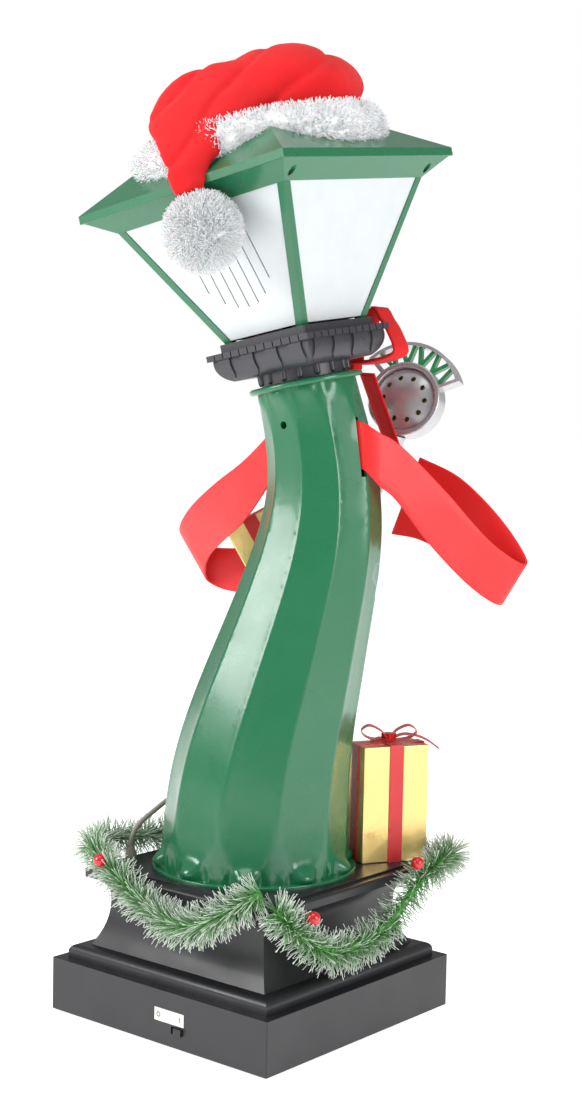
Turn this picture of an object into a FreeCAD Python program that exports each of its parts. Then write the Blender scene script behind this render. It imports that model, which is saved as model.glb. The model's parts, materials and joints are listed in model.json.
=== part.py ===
# Animated festive lamp post: a tilted lantern head that turns on a curved, fluted column, on a
# square battery base, with a microphone on a stand, ribbon arms, gifts, a hat, a bow and a garland.
# Millimetres, +Z up, the origin on the ground under the centre of the base, front towards -Y.
import FreeCAD
import Part
import math
import os

V = FreeCAD.Vector
OUT = "parts"
X, Y, Z = V(1, 0, 0), V(0, 1, 0), V(0, 0, 1)
HALVES = (-1, 1)

# ---------------------------------------------------------------- driving dimensions
BASE_SIDE = 240.0
BASE_TOP = 45.5
WALL = 2.5
FOOT_HEIGHT = 1.5
FOOT_RADIUS = 9.0
MOULDING_SIDE = 221.0
MOULDING_HEIGHT = 11.0
PEDESTAL_FOOT = 194.0
PEDESTAL_WAIST = 171.0
PLATE_SIDE = 204.0
PLATE_TOP = 125.0
PLATE_THICKNESS = 10.0
FIT_GAP = 0.3
RUNNING_GAP = 0.05

COVER_THICKNESS = 2.5
BOSS_RADIUS = 5.0
SCREW_RADIUS = 1.5
CELL_RADIUS = 16.5
CELL_LENGTH = 61.0
CELL_COUNT = 4
DOOR_THICKNESS = 2.0
DOOR_PIN_RADIUS = 1.6

SWITCH_KNOB = (8.0, 5.5)
SWITCH_TRAVEL = 4.0
SWITCH_X = -27.6
SWITCH_Z = 15.6
LABEL_SIZE = (32.0, 10.5)
LABEL_THICKNESS = 0.4

POLE_WALL = 2.6
POLE_FLUTES = 10
FLUTE_DEPTH = 0.052
FLUTE_FOOT = (142.0, 174.0)
FLUTE_HEAD = (496.0, 522.0)
POLE_FLANGE_RADIUS = 87.0
POLE_FLANGE_THICKNESS = 2.6
NECK_FLANGE_RADIUS = 48.0
NECK_FLANGE_THICKNESS = 5.0
BEND_HEADING = 218.1
# height above the ground, sideways shift of the centre, and radius
POLE_STATIONS = (
    (125.0, 0.0, 79.3),
    (160.0, 0.6, 78.4),
    (200.0, 3.9, 76.0),
    (250.0, 13.2, 70.6),
    (300.0, 26.0, 64.4),
    (350.0, 38.8, 58.2),
    (395.0, 48.6, 53.4),
    (440.0, 52.3, 48.4),
    (485.0, 47.5, 44.4),
    (510.0, 41.9, 42.7),
    (534.5, 35.9, 41.5),
)

HEAD_LEAN = 12.4
LEAN_HEADING = 38.1
NECK_TOP = V(-27.7, -21.8, 537.5)

SPINDLE_RADIUS = 8.0
SPINDLE_BORE = 5.0
GEAR_MODULE = 0.8
NECK_GEAR_TEETH = 40
PINION_TEETH = 16
GEAR_BACKLASH = 0.22
GEAR_FACE = 6.0
BRACKET_TOP = -11.0
BRACKET_THICKNESS = 3.0

COLLAR_RADIUS = 37.2
COLLAR_RIBS = 16
BOWL_BOTTOM = 10.0
BOWL_FOOT = 82.6
BOWL_MOUTH = 103.0
RIM_BOTTOM = 29.5
RIM_THICKNESS = 5.0
RIM_SIDE = 110.6
RIM_TEETH = 12
TRAY_SIDE = 92.0
TRAY_TOP = 41.6

PANEL_BOTTOM = 43.6
PANEL_TOP = 147.5
LANTERN_FOOT = 84.9
LANTERN_MOUTH = 180.4
POST_WIDTH = 6.4
PANEL_THICKNESS = 2.0
SLOT_COUNT = 7
SLOT_PITCH = 11.0
SLOT_WIDTH = 1.4
SLOT_CIRCLE = 40.0
SLOT_CENTRE = 106.0

EAVE_BOTTOM = 160.5
EAVE_TOP = 167.2
ROOF_SIDE = 224.0
ROOF_PITCH = 34.8

BRIM_RADIUS = 103.0
BRIM_INNER = 78.0
BRIM_RANGE = (172.0, 211.0)
POMPOM_RADIUS = 31.0
POMPOM_CENTRE = V(-23, 117, 124)

ARM_THICKNESS = 2.6
# edge points of each ribbon arm from the shoulder to the hand, upper edge and lower edge
RIGHT_ARM = (
    (V(-76, -29, 505), V(-78, -29, 466)),
    (V(-85, -30, 502.5), V(-87, -30, 463)),
    (V(-94, -38.5, 495), V(-95, -37, 452)),
    (V(-104, -56, 484), V(-103, -52, 439)),
    (V(-126, -90, 447), V(-119, -78, 403)),
    (V(-147, -122, 408), V(-135, -108, 371)),
    (V(-163, -147, 388), V(-147, -132, 353)),
    (V(-164, -158, 390), V(-146, -148, 352)),
    (V(-149, -156, 412), V(-127, -148, 369)),
    (V(-128, -150, 436), V(-97, -143, 387)),
    (V(-99, -145, 459), V(-66, -139, 401)),
    (V(-64, -138, 474), V(-38, -134, 405)),
)
LEFT_ARM = (
    (V(2, -29, 505), V(3, -29, 466)),
    (V(14, -29, 494), V(14, -30, 452)),
    (V(48, -32, 468), V(50, -40, 418)),
    (V(91, -42, 446), V(87, -54, 397)),
    (V(130, -54, 424), V(122, -72, 379)),
    (V(157, -68, 404), V(139, -84, 363)),
    (V(163, -82, 392), V(145, -96, 351)),
    (V(150, -98, 384), V(134, -106, 344)),
    (V(118, -112, 384), V(108, -114, 342)),
    (V(84, -121, 390), V(78, -121, 347)),
    (V(52, -127, 396), V(48, -126, 353)),
)

MIC_CENTRE = V(-48, -138, 523)
MIC_AXIS = V(0.29, -0.93, -0.22)
MIC_UP = V(-0.151, -0.272, 0.950)
MIC_RADIUS = 33.0
MIC_DEPTH = 20.0
MIC_WALL = 5.0
BANNER_RADIUS = 51.5
BANNER_DEPTH = 15.0
BANNER_SPAN = 58.0
BAR_COUNT = 9
STAND_FOOT = V(75, -80, 125)
STAND_RADIUS = 7.0
STAND_FOOT_RADIUS = 17.0
STAND_FOOT_HEIGHT = 8.0

CABLE_DIAMETER = 4.5
CABLE_ROUTE = (
    V(94, 54, 133),
    V(94, 54, 143.5),
    V(93, 45, 153),
    V(92.5, 28, 161),
    V(91.5, 6, 171),
    V(90, -22, 180),
    V(87, -46, 178),
    V(82.5, -64, 166),
    V(72.5, -79.5, 151),
)

GARLAND_DIAMETER = 6.0
GARLAND_ROUTE = (
    V(-97, 104, 138),
    V(-74, 116, 121),
    V(-44, 119, 104),
    V(-12, 119, 102),
    V(24, 118, 116),
    V(58, 115, 133),
    V(96, 98, 142),
    V(110, 66, 140),
    V(111, 30, 136),
    V(112, -10, 132),
    V(113, -50, 127),
    V(114, -90, 128),
    V(96, -118, 126),
    V(58, -122, 108),
    V(16, -124, 98),
    V(-28, -134, 102),
    V(-66, -148, 114),
    V(-104, -142, 126),
    V(-120, -108, 132),
    V(-120, -72, 116),
    V(-119, -36, 90),
    V(-119, 4, 80),
    V(-119, 44, 83),
    V(-117, 80, 104),
    V(-108, 97, 124),
)
BERRY_RADIUS = 5.5
BERRY_CENTRES = (V(-126, 74, 118), V(-124, -66, 136), V(66, -128, 118), V(60, 124, 140))

GIFT_SIZE = (62.0, 34.0, 101.0)
GIFT_CORNER = V(-67, -64, 125)
GIFT_HEADING = 242.6
GIFT_RIBBON = 13.0
RIBBON_THICKNESS = 0.8
HELD_GIFT_SIZE = (48.0, 33.0, 58.0)
HELD_GIFT_CENTRE = V(71, -88.5, 391)
HELD_GIFT_TILT = -30.0


# ---------------------------------------------------------------- helpers
def cube(low, high):
    """Box between two opposite corners."""
    size = V(*high) - V(*low)
    return Part.makeBox(size.x, size.y, size.z, V(*low))


def slab(side, bottom, top, corner=0.0):
    """Square block centred on Z, with its upright edges rounded."""
    half = side / 2
    block = cube((-half, -half, bottom), (half, half, top))
    if corner:
        upright = [e for e in block.Edges if abs(e.tangentAt(e.FirstParameter).z) > 0.99]
        block = block.makeFillet(corner, upright)
    return block


def rod(radius, start, end):
    """Cylinder from one point to another."""
    return Part.makeCylinder(radius, start.distanceToPoint(end), start, end - start)


def tube(outer, inner, bottom, top, centre=V(0, 0, 0)):
    """Upright ring."""
    body = Part.makeCylinder(outer, top - bottom, centre + V(0, 0, bottom))
    return body.cut(Part.makeCylinder(inner, top - bottom, centre + V(0, 0, bottom)))


def fuse(shapes):
    """One solid from several that touch."""
    first, *rest = shapes
    joined = first.fuse(rest) if rest else first
    return joined.removeSplitter()


def group(shapes):
    """Separate solids kept in one node."""
    return Part.makeCompound(shapes)


def mitred(side, bottom, top, edges):
    """Square moulding: an outline of (half width, height) edges, the same on all four sides."""
    right = []
    for edge in edges:
        marks = [V(h, 0, z) for h, z in edge]
        right.append(Part.LineSegment(*marks) if len(marks) == 2 else Part.Arc(*marks))
    left = []
    for edge in reversed(edges):
        marks = [V(-h, 0, z) for h, z in reversed(edge)]
        left.append(Part.LineSegment(*marks) if len(marks) == 2 else Part.Arc(*marks))
    half_low = edges[0][0][0]
    half_high = edges[-1][-1][0]
    lid = Part.LineSegment(V(half_high, 0, top), V(-half_high, 0, top))
    floor = Part.LineSegment(V(-half_low, 0, bottom), V(half_low, 0, bottom))
    outline = [s.toShape() for s in [*right, lid, *left, floor]]
    face = Part.Face(Part.Wire(Part.__sortEdges__(outline)))
    face.translate(V(0, -side / 2, 0))
    across = face.extrude(V(0, side, 0))
    along = across.copy()
    along.rotate(V(0, 0, 0), Z, 90)
    return across.common(along)


def frustum(low_side, high_side, bottom, top):
    """Square frustum centred on Z."""
    wires = []
    for side, height in ((low_side, bottom), (high_side, top)):
        h = side / 2
        corners = [V(h, h, height), V(-h, h, height), V(-h, -h, height), V(h, -h, height)]
        wires.append(Part.makePolygon([*corners, corners[0]]))
    return Part.makeLoft(wires, True, True)


def unit(vector):
    """Copy of a vector with length 1."""
    copy = V(vector)
    copy.normalize()
    return copy


def heading(angle):
    """Horizontal unit vector at an angle from +X."""
    return V(math.cos(math.radians(angle)), math.sin(math.radians(angle)), 0)


def save(name, shape):
    """Check one sub-part and write its STEP file."""
    if not shape.isValid() or shape.Volume <= 0:
        raise ValueError(f"{name} is not a sound solid")
    shape.exportStep(os.path.join(OUT, name + ".step"))
    print(f"{name}: {len(shape.Solids)} solids, {shape.Volume / 1000:.2f} cm3")


def spread(half):
    """The four corners of a square."""
    return [V(sx * half, sy * half, 0) for sx in HALVES for sy in HALVES]


# ---------------------------------------------------------------- head frame
HEAD_AXIS = heading(LEAN_HEADING) * math.sin(math.radians(HEAD_LEAN)) + Z * math.cos(
    math.radians(HEAD_LEAN)
)
HEAD_PLACE = FreeCAD.Placement(NECK_TOP, FreeCAD.Rotation(Z, HEAD_AXIS))


def on_head(shape):
    """Move a shape drawn on the upright neck axis into the leaning head."""
    placed = shape.copy()
    placed.Placement = HEAD_PLACE.multiply(placed.Placement)
    return placed


def save_head(name, shape):
    """Write a sub-part that is drawn in the head's own frame."""
    save(name, on_head(shape))


# ---------------------------------------------------------------- base
BASE_HALF = BASE_SIDE / 2
COVER_BOTTOM = FOOT_HEIGHT + 2.0
COVER_TOP = COVER_BOTTOM + COVER_THICKNESS
BOSS_PLACE = BASE_HALF - 15.0
PLATE_BOTTOM = PLATE_TOP - PLATE_THICKNESS
MOULDING_TOP = BASE_TOP + MOULDING_HEIGHT
WIRE_HOLE = 26.0
TRAY_WALL = 2.0
CELL_PITCH = 2 * CELL_RADIUS + 1.0
TRAY_HALF_X = (CELL_COUNT * CELL_PITCH) / 2 + 1.0
TRAY_HALF_Y = CELL_LENGTH / 2 + 5.0
TRAY_HEIGHT = 2 * CELL_RADIUS + 3.0
DOOR_PIN_Z = COVER_BOTTOM + 1.8
DOOR_PIN_Y = -TRAY_HALF_Y - 3.0
DOOR_HALF_X = TRAY_HALF_X - 2.0


def base_box():
    """Lower housing: an open-bottomed square shell with screw bosses and the switch slot."""
    shell = slab(BASE_SIDE, FOOT_HEIGHT, BASE_TOP, 1.2)
    shell = shell.cut(slab(BASE_SIDE - 2 * WALL, FOOT_HEIGHT - 1, BASE_TOP - WALL))
    for place in spread(BOSS_PLACE):
        shell = shell.fuse(Part.makeCylinder(BOSS_RADIUS, BASE_TOP - WALL - COVER_TOP, place + Z * COVER_TOP))
        shell = shell.cut(Part.makeCylinder(SCREW_RADIUS, 20, place + Z * COVER_TOP))
    shell = shell.cut(Part.makeCylinder(WIRE_HOLE, 3 * WALL, V(0, 0, BASE_TOP - 2 * WALL)))
    width, height = SWITCH_KNOB
    low = (SWITCH_X - width / 2 - FIT_GAP, BASE_HALF - 2 * WALL, SWITCH_Z - height / 2 - FIT_GAP)
    high = (SWITCH_X + width / 2 + SWITCH_TRAVEL + FIT_GAP, BASE_HALF + 1, SWITCH_Z + height / 2 + FIT_GAP)
    return shell.cut(cube(low, high))


def base_cover():
    """Underside plate with the battery tray, the door opening and the hinge lugs."""
    side = BASE_SIDE - 2 * WALL - 2 * FIT_GAP
    plate = slab(side, COVER_BOTTOM, COVER_TOP)
    tray_top = COVER_TOP + TRAY_HEIGHT
    outer = cube(
        (-TRAY_HALF_X - TRAY_WALL, -TRAY_HALF_Y - TRAY_WALL, COVER_BOTTOM),
        (TRAY_HALF_X + TRAY_WALL, TRAY_HALF_Y + TRAY_WALL, tray_top),
    )
    inner = cube((-TRAY_HALF_X, -TRAY_HALF_Y, 0), (TRAY_HALF_X, TRAY_HALF_Y, tray_top - TRAY_WALL))
    cover = plate.fuse(outer).cut(inner)
    hinge_well = cube((-DOOR_HALF_X, DOOR_PIN_Y - 4, 0), (DOOR_HALF_X, -TRAY_HALF_Y + 1, COVER_TOP + 3.2))
    well_roof = cube(
        (-DOOR_HALF_X - 2, DOOR_PIN_Y - 6, COVER_BOTTOM), (DOOR_HALF_X + 2, -TRAY_HALF_Y, COVER_TOP + 5.2)
    )
    cover = cover.fuse(well_roof).cut(hinge_well)
    pin_hole = rod(
        DOOR_PIN_RADIUS + RUNNING_GAP,
        V(-DOOR_HALF_X - 1.6, DOOR_PIN_Y, DOOR_PIN_Z),
        V(DOOR_HALF_X + 1.6, DOOR_PIN_Y, DOOR_PIN_Z),
    )
    cover = cover.cut(pin_hole)
    for place in spread(BOSS_PLACE):
        cover = cover.cut(Part.makeCylinder(SCREW_RADIUS + 0.3, 8, place))
    return cover.removeSplitter()


def battery_door():
    """Door over the cells, with a hinge barrel, two stub pins and a latch tongue."""
    top = COVER_BOTTOM + DOOR_THICKNESS
    leaf = cube(
        (-DOOR_HALF_X + 0.6, -TRAY_HALF_Y + 1.4, COVER_BOTTOM), (DOOR_HALF_X - 0.6, TRAY_HALF_Y - 0.5, top)
    )
    barrel_radius = DOOR_PIN_Z - COVER_BOTTOM + 0.6
    barrel = rod(
        barrel_radius,
        V(-DOOR_HALF_X + 0.6, DOOR_PIN_Y, DOOR_PIN_Z),
        V(DOOR_HALF_X - 0.6, DOOR_PIN_Y, DOOR_PIN_Z),
    )
    web = cube((-DOOR_HALF_X + 0.6, DOOR_PIN_Y, COVER_BOTTOM), (DOOR_HALF_X - 0.6, -TRAY_HALF_Y + 2, top))
    pins = rod(
        DOOR_PIN_RADIUS,
        V(-DOOR_HALF_X - 1.3, DOOR_PIN_Y, DOOR_PIN_Z),
        V(DOOR_HALF_X + 1.3, DOOR_PIN_Y, DOOR_PIN_Z),
    )
    grip = cube((-12, TRAY_HALF_Y - 7, COVER_BOTTOM - 0.9), (12, TRAY_HALF_Y - 4, COVER_BOTTOM))
    return fuse([leaf, web, barrel, pins, grip])


def cells():
    """Round cells side by side in the tray."""
    made = []
    z = COVER_BOTTOM + DOOR_THICKNESS + 0.8 + CELL_RADIUS
    for i in range(CELL_COUNT):
        x = (i - (CELL_COUNT - 1) / 2) * CELL_PITCH
        end = -CELL_LENGTH / 2
        can = rod(CELL_RADIUS, V(x, end, z), V(x, end + CELL_LENGTH - 2, z))
        nub = rod(4.5, V(x, end + CELL_LENGTH - 2, z), V(x, end + CELL_LENGTH, z))
        made.append(can.fuse(nub))
    return made


def contacts():
    """Spring and flat contacts at the two ends of each cell."""
    made = []
    z = COVER_BOTTOM + DOOR_THICKNESS + 0.8 + CELL_RADIUS
    for i in range(CELL_COUNT):
        x = (i - (CELL_COUNT - 1) / 2) * CELL_PITCH
        back = TRAY_HALF_Y
        plate = cube((x - 10, back - 0.6, z - 10), (x + 10, back, z + 10))
        button = rod(5, V(x, CELL_LENGTH / 2, z), V(x, back - 0.6, z))
        spring_plate = cube((x - 10, -back, z - 10), (x + 10, -back + 0.6, z + 10))
        coil = Part.makeCone(9, 5, back - 0.6 - CELL_LENGTH / 2, V(x, -back + 0.6, z), Y)
        made += [plate.fuse(button), spring_plate.fuse(coil)]
    return made


def pedestal_outline(wall):
    """Flange with a rounded shoulder, a hollow curve to the waist and a flared cap, less a wall."""
    flange, foot, waist = MOULDING_SIDE / 2 - wall, PEDESTAL_FOOT / 2 - wall, PEDESTAL_WAIST / 2 - wall
    shoulder_top = MOULDING_TOP - wall
    round_over = 6.0 - wall
    lean = round_over * (1 - math.sqrt(0.5))
    throat = PLATE_BOTTOM - 17.0
    cap_half = PLATE_SIDE / 2 - 5.0 - wall
    return [
        [(flange, BASE_TOP), (flange, shoulder_top - round_over)],
        [
            (flange, shoulder_top - round_over),
            (flange - lean, shoulder_top - lean),
            (flange - round_over, shoulder_top),
        ],
        [(flange - round_over, shoulder_top), (foot, shoulder_top)],
        [(foot, shoulder_top), (waist + 2.2, (shoulder_top + throat) / 2), (waist, throat)],
        [(waist, throat), (waist + 4.0, PLATE_BOTTOM - 6.0), (cap_half, PLATE_BOTTOM)],
    ]


def pedestal():
    """Hollow plinth between the base box and the top plate."""
    span = MOULDING_SIDE + 2
    outer = mitred(span, BASE_TOP, PLATE_BOTTOM, pedestal_outline(0.0))
    return outer.cut(mitred(span, BASE_TOP, PLATE_BOTTOM, pedestal_outline(WALL)))


def top_plate():
    """Square plate that carries the column, with a rounded and stepped edge."""
    plate = slab(PLATE_SIDE, PLATE_BOTTOM, PLATE_TOP - 2.0, 3.0)
    rim = [e for e in plate.Edges if abs(e.CenterOfMass.z - (PLATE_TOP - 2.0)) < 0.01]
    plate = plate.makeFillet(2.6, rim)
    step = slab(PLATE_SIDE - 16, PLATE_TOP - 3.0, PLATE_TOP, 3.0)
    plate = plate.fuse(step).cut(Part.makeCylinder(WIRE_HOLE, 40, V(0, 0, PLATE_BOTTOM - 10)))
    grommet = V(CABLE_ROUTE[0].x, CABLE_ROUTE[0].y, PLATE_BOTTOM - 1)
    return plate.cut(Part.makeCylinder(CABLE_DIAMETER / 2 + 2.0, 30, grommet)).removeSplitter()


def build_base():
    """Write every sub-part of the base."""
    save("base_box", base_box())
    save("base_cover", base_cover())
    save("battery_door", battery_door())
    save("battery_cells", group(cells()))
    save("battery_contacts", group(contacts()))
    save("pedestal", pedestal())
    save("top_plate", top_plate())
    foot_place = BASE_HALF - 32.0
    feet = [
        Part.makeCylinder(FOOT_RADIUS, COVER_BOTTOM, p) for p in spread(foot_place)
    ]
    save("rubber_feet", group(feet))
    screws = []
    for place in spread(BOSS_PLACE):
        head = Part.makeCylinder(2 * SCREW_RADIUS, 1.6, place + Z * (COVER_BOTTOM - 1.6))
        shank = Part.makeCylinder(SCREW_RADIUS, 16, place + Z * (COVER_BOTTOM - 0.1))
        screws.append(head.fuse(shank))
    save("base_screws", group(screws))
    board = cube((-45, 60, COVER_TOP + 6), (25, 108, COVER_TOP + 7.6))
    chips = [
        cube((-30, 70, COVER_TOP + 7.6), (-16, 84, COVER_TOP + 10)),
        cube((-6, 74, COVER_TOP + 7.6), (14, 80, COVER_TOP + 11)),
        Part.makeCylinder(5, 12, V(-36, 96, COVER_TOP + 7.6)),
        Part.makeCylinder(4, 9, V(16, 98, COVER_TOP + 7.6)),
    ]
    posts = [Part.makeCylinder(3, 6, V(x, y, COVER_TOP)) for x in (-40, 20) for y in (64, 104)]
    save("circuit_board", fuse([board, *chips, *posts]))
    build_switch()


def build_switch():
    """Slide switch, its knob and the plain plate above it."""
    width, height = SWITCH_KNOB
    inner = BASE_HALF - WALL
    mid = SWITCH_X + SWITCH_TRAVEL / 2
    half = width / 2 + SWITCH_TRAVEL / 2 + 4
    body = cube((mid - half, inner - 9, SWITCH_Z - 5), (mid + half, inner, SWITCH_Z + 5))
    race = cube(
        (SWITCH_X - width / 2 - FIT_GAP, inner - 5, SWITCH_Z - height / 2 - FIT_GAP),
        (SWITCH_X + width / 2 + SWITCH_TRAVEL + FIT_GAP, inner + 1, SWITCH_Z + height / 2 + FIT_GAP),
    )
    save("switch_body", body.cut(race))
    knob = cube(
        (SWITCH_X - width / 2, inner - 4.7, SWITCH_Z - height / 2),
        (SWITCH_X + width / 2, BASE_HALF + 2.4, SWITCH_Z + height / 2),
    )
    save("switch_knob", knob)
    long, tall = LABEL_SIZE
    centre_x, bottom = -17.2, 20.3
    label_corner = (centre_x + long / 2, BASE_HALF + LABEL_THICKNESS, bottom + tall)
    label = cube((centre_x - long / 2, BASE_HALF, bottom), label_corner)
    save("switch_plate", label)


# ---------------------------------------------------------------- column
BEND = heading(BEND_HEADING)


def column_curve():
    """Curve whose X is the sideways shift, Y the radius and Z the height of the column."""
    curve = Part.BSplineCurve()
    points = [V(shift, radius, height) for height, shift, radius in POLE_STATIONS]
    curve.interpolate(Points=points, Parameters=[p.z for p in points])
    return curve


COLUMN = column_curve()
COLUMN_FOOT, COLUMN_HEAD = POLE_STATIONS[0][0], POLE_STATIONS[-1][0]


def column_centre(height):
    """Centre of the column at a height."""
    return BEND * COLUMN.value(height).x + Z * height


def column_radius(height):
    """Radius over the ridges at a height."""
    return COLUMN.value(height).y


def column_axis(height):
    """Direction of the column at a height: upright at its foot, in line with the neck at its head."""
    if height == COLUMN_FOOT:
        return V(Z)
    if height == COLUMN_HEAD:
        return V(HEAD_AXIS)
    return unit(BEND * COLUMN.tangent(height)[0].x + Z * COLUMN.tangent(height)[0].z)


def flute_share(height):
    """How far the flutes have opened at a height, from 0 to 1."""
    rising = (height - FLUTE_FOOT[0]) / (FLUTE_FOOT[1] - FLUTE_FOOT[0])
    falling = (FLUTE_HEAD[1] - height) / (FLUTE_HEAD[1] - FLUTE_HEAD[0])
    return math.sqrt(max(0.0, min(1.0, rising, falling)))


def fluted_wire(height, inwards):
    """Closed smooth outline with a shallow hollow for each flute and a ridge on the parting line."""
    centre, normal = column_centre(height), column_axis(height)
    radius = column_radius(height)
    side = unit(Y - normal * Y.dot(normal))
    across = side.cross(normal)
    steps = 8
    points = []
    for i in range(POLE_FLUTES * steps):
        from_middle = 2 * (i % steps) / steps - 1
        dip = FLUTE_DEPTH * radius * max(0.0, flute_share(height) - from_middle**2)
        reach = radius - dip - inwards
        angle = 2 * math.pi * i / (POLE_FLUTES * steps)
        points.append(centre + across * (reach * math.cos(angle)) + side * (reach * math.sin(angle)))
    curve = Part.BSplineCurve()
    curve.interpolate(Points=points, PeriodicFlag=True)
    return Part.Wire([curve.toShape()])


def column_heights():
    """Section heights: close together where the flutes end, wide apart between."""
    foot = [FLUTE_FOOT[0] + share * (FLUTE_FOOT[1] - FLUTE_FOOT[0]) for share in (0, 0.12, 0.35, 0.65, 1)]
    head = [FLUTE_HEAD[0] + share * (FLUTE_HEAD[1] - FLUTE_HEAD[0]) for share in (0, 0.4, 0.75, 1)]
    plain = 10
    span = head[0] - foot[-1]
    middle = [foot[-1] + span * i / plain for i in range(1, plain)]
    return [COLUMN_FOOT, *foot, *middle, *head, COLUMN_HEAD]


def column_solid(inwards):
    """Column body through all its sections, moved inwards by a wall."""
    return Part.makeLoft([fluted_wire(height, inwards) for height in column_heights()], True, False)


def half_space(front):
    """Everything on one side of the curved parting surface."""
    far = 300.0
    centres = [column_centre(height) for height in column_heights()]
    points = [V(-far, p.y, p.z) for p in centres]
    line = Part.BSplineCurve()
    line.interpolate(points)
    below = points[0] - Z * 10
    above = points[-1] + V(0, HEAD_AXIS.y, HEAD_AXIS.z) * 40
    outside = -far if front else far
    corner_high = V(-far, outside, above.z)
    corner_low = V(-far, outside, below.z)
    edges = [
        Part.makeLine(below, points[0]),
        line.toShape(),
        Part.makeLine(points[-1], above),
        Part.makeLine(above, corner_high),
        Part.makeLine(corner_high, corner_low),
        Part.makeLine(corner_low, below),
    ]
    return Part.Face(Part.Wire(edges)).extrude(V(2 * far, 0, 0))


SHOULDER_SLOT = (49.0, ARM_THICKNESS + 2.2)
SHOULDER_SLOT_SHIFT = V(0, 0, -2.5)
COLUMN_SCREW_Z = 499.5
COLUMN_FOOT_RADIUS = POLE_STATIONS[0][2]
NECK_BORE = POLE_STATIONS[-1][2] - POLE_WALL
LEDGE_BORE = 33.5
LEDGE_THICKNESS = 3.0


def shoulder_slots():
    """Slots in the two parting lines for the roots of the arms."""
    wide, thick = SHOULDER_SLOT
    slots = []
    for arm in (RIGHT_ARM, LEFT_ARM):
        middle = (arm[0][0] + arm[0][1]) * 0.5 + SHOULDER_SLOT_SHIFT
        reach = V(14, thick / 2, wide / 2)
        slots.append(cube(middle - reach, middle + reach))
    return slots


def column_shell():
    """Hollow column wall without its flanges, open where the arms enter."""
    return column_solid(0.0).cut(column_solid(POLE_WALL)).cut(shoulder_slots())


def column_rings(front):
    """One half of the ground flange, of the neck flange and of the ledge for the bracket."""
    ground_top = PLATE_TOP + POLE_FLANGE_THICKNESS
    ground = tube(POLE_FLANGE_RADIUS, COLUMN_FOOT_RADIUS - POLE_WALL / 2, PLATE_TOP, ground_top)
    rim_length = 2 * math.pi * POLE_FLANGE_RADIUS
    lip = [e for e in ground.Edges if e.CenterOfMass.z > ground_top - 0.01 and e.Length > rim_length - 1]
    reach = 2 * POLE_FLANGE_RADIUS
    low, high = (-reach, 0) if front else (0, reach)
    ground = ground.makeFillet(1.2, lip).common(cube((-reach, low, PLATE_TOP), (reach, high, ground_top)))

    neck = tube(NECK_FLANGE_RADIUS, NECK_BORE + 0.8, -NECK_FLANGE_THICKNESS, 0)
    brim_length = 2 * math.pi * NECK_FLANGE_RADIUS
    neck = neck.makeFillet(2.2, [e for e in neck.Edges if e.Closed and e.Length > brim_length - 1])
    ledge_low = BRACKET_TOP - BRACKET_THICKNESS - LEDGE_THICKNESS
    ledge = tube(NECK_BORE + 1.5, LEDGE_BORE, ledge_low, ledge_low + LEDGE_THICKNESS)
    side = half_space(front)
    return [ground, on_head(neck).common(side), on_head(ledge).common(side).cut(shoulder_slots())]


def column_boss(front):
    """Post for the screw that joins the two halves."""
    centre = column_centre(COLUMN_SCREW_Z)
    radius = column_radius(COLUMN_SCREW_Z)
    reach = radius * (1 - FLUTE_DEPTH) - POLE_WALL / 2
    if front:
        post = rod(4.5, centre - Y * reach, centre - Y * 0.2)
        return post.cut(rod(SCREW_RADIUS, centre - Y * 20, centre + Y * 2))
    post = rod(5.5, centre + Y * 0.2, centre + Y * reach)
    return post.cut(rod(SCREW_RADIUS + 0.4, centre - Y * 2, centre + Y * 60))


def build_column():
    """Write the two column halves and their screw."""
    shell = column_shell()
    centre = column_centre(COLUMN_SCREW_Z)
    head_well = rod(3.2, centre + Y * 12, centre + Y * 80)
    front_half = fuse([shell.common(half_space(True)), *column_rings(True), column_boss(True)])
    rear_half = fuse([shell.common(half_space(False)), *column_rings(False), column_boss(False)])
    save("column_front_half", biggest(front_half))
    save("column_rear_half", biggest(rear_half.cut(head_well)))
    head = rod(3.0, centre + Y * 12, centre + Y * 15)
    shank = rod(SCREW_RADIUS, centre - Y * 16, centre + Y * 12.5)
    save("column_screw", head.fuse(shank))


def biggest(shape):
    """The main solid of a cut shape, without loose chips."""
    return max(shape.Solids, key=lambda s: s.Volume)


# ---------------------------------------------------------------- head drive
def gear(teeth, face, bore, turn=0.0):
    """Spur gear with tapered teeth on its pitch circle, standing on Z."""
    pitch = GEAR_MODULE * teeth / 2
    tip, root = pitch + 0.85 * GEAR_MODULE, pitch - 1.2 * GEAR_MODULE
    tooth = math.pi / (2 * teeth) - GEAR_BACKLASH / (2 * pitch)
    slope = 0.36 * GEAR_MODULE / pitch
    points = []
    for i in range(teeth):
        middle = 2 * math.pi * i / teeth + turn
        for radius, half in ((root, tooth + 1.1 * slope), (tip, tooth - 0.85 * slope)):
            points.append((radius, middle - half))
        for radius, half in ((tip, tooth - 0.85 * slope), (root, tooth + 1.1 * slope)):
            points.append((radius, middle + half))
    corners = [V(r * math.cos(a), r * math.sin(a), 0) for r, a in points]
    wheel = Part.Face(Part.makePolygon([*corners, corners[0]])).extrude(Z * face)
    return wheel.cut(Part.makeCylinder(bore, face)) if bore else wheel


GEAR_CENTRES = GEAR_MODULE * (NECK_GEAR_TEETH + PINION_TEETH) / 2 + 0.1
GEAR_BOTTOM = -24.0
TAB_TOP = GEAR_BOTTOM - 3.0
TAB_BOTTOM = TAB_TOP - 2.0
MOTOR_RADIUS = 11.5
MOTOR_LENGTH = 32.0
SHAFT_RADIUS = 1.5
BUSH_RADIUS = 11.0


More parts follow.
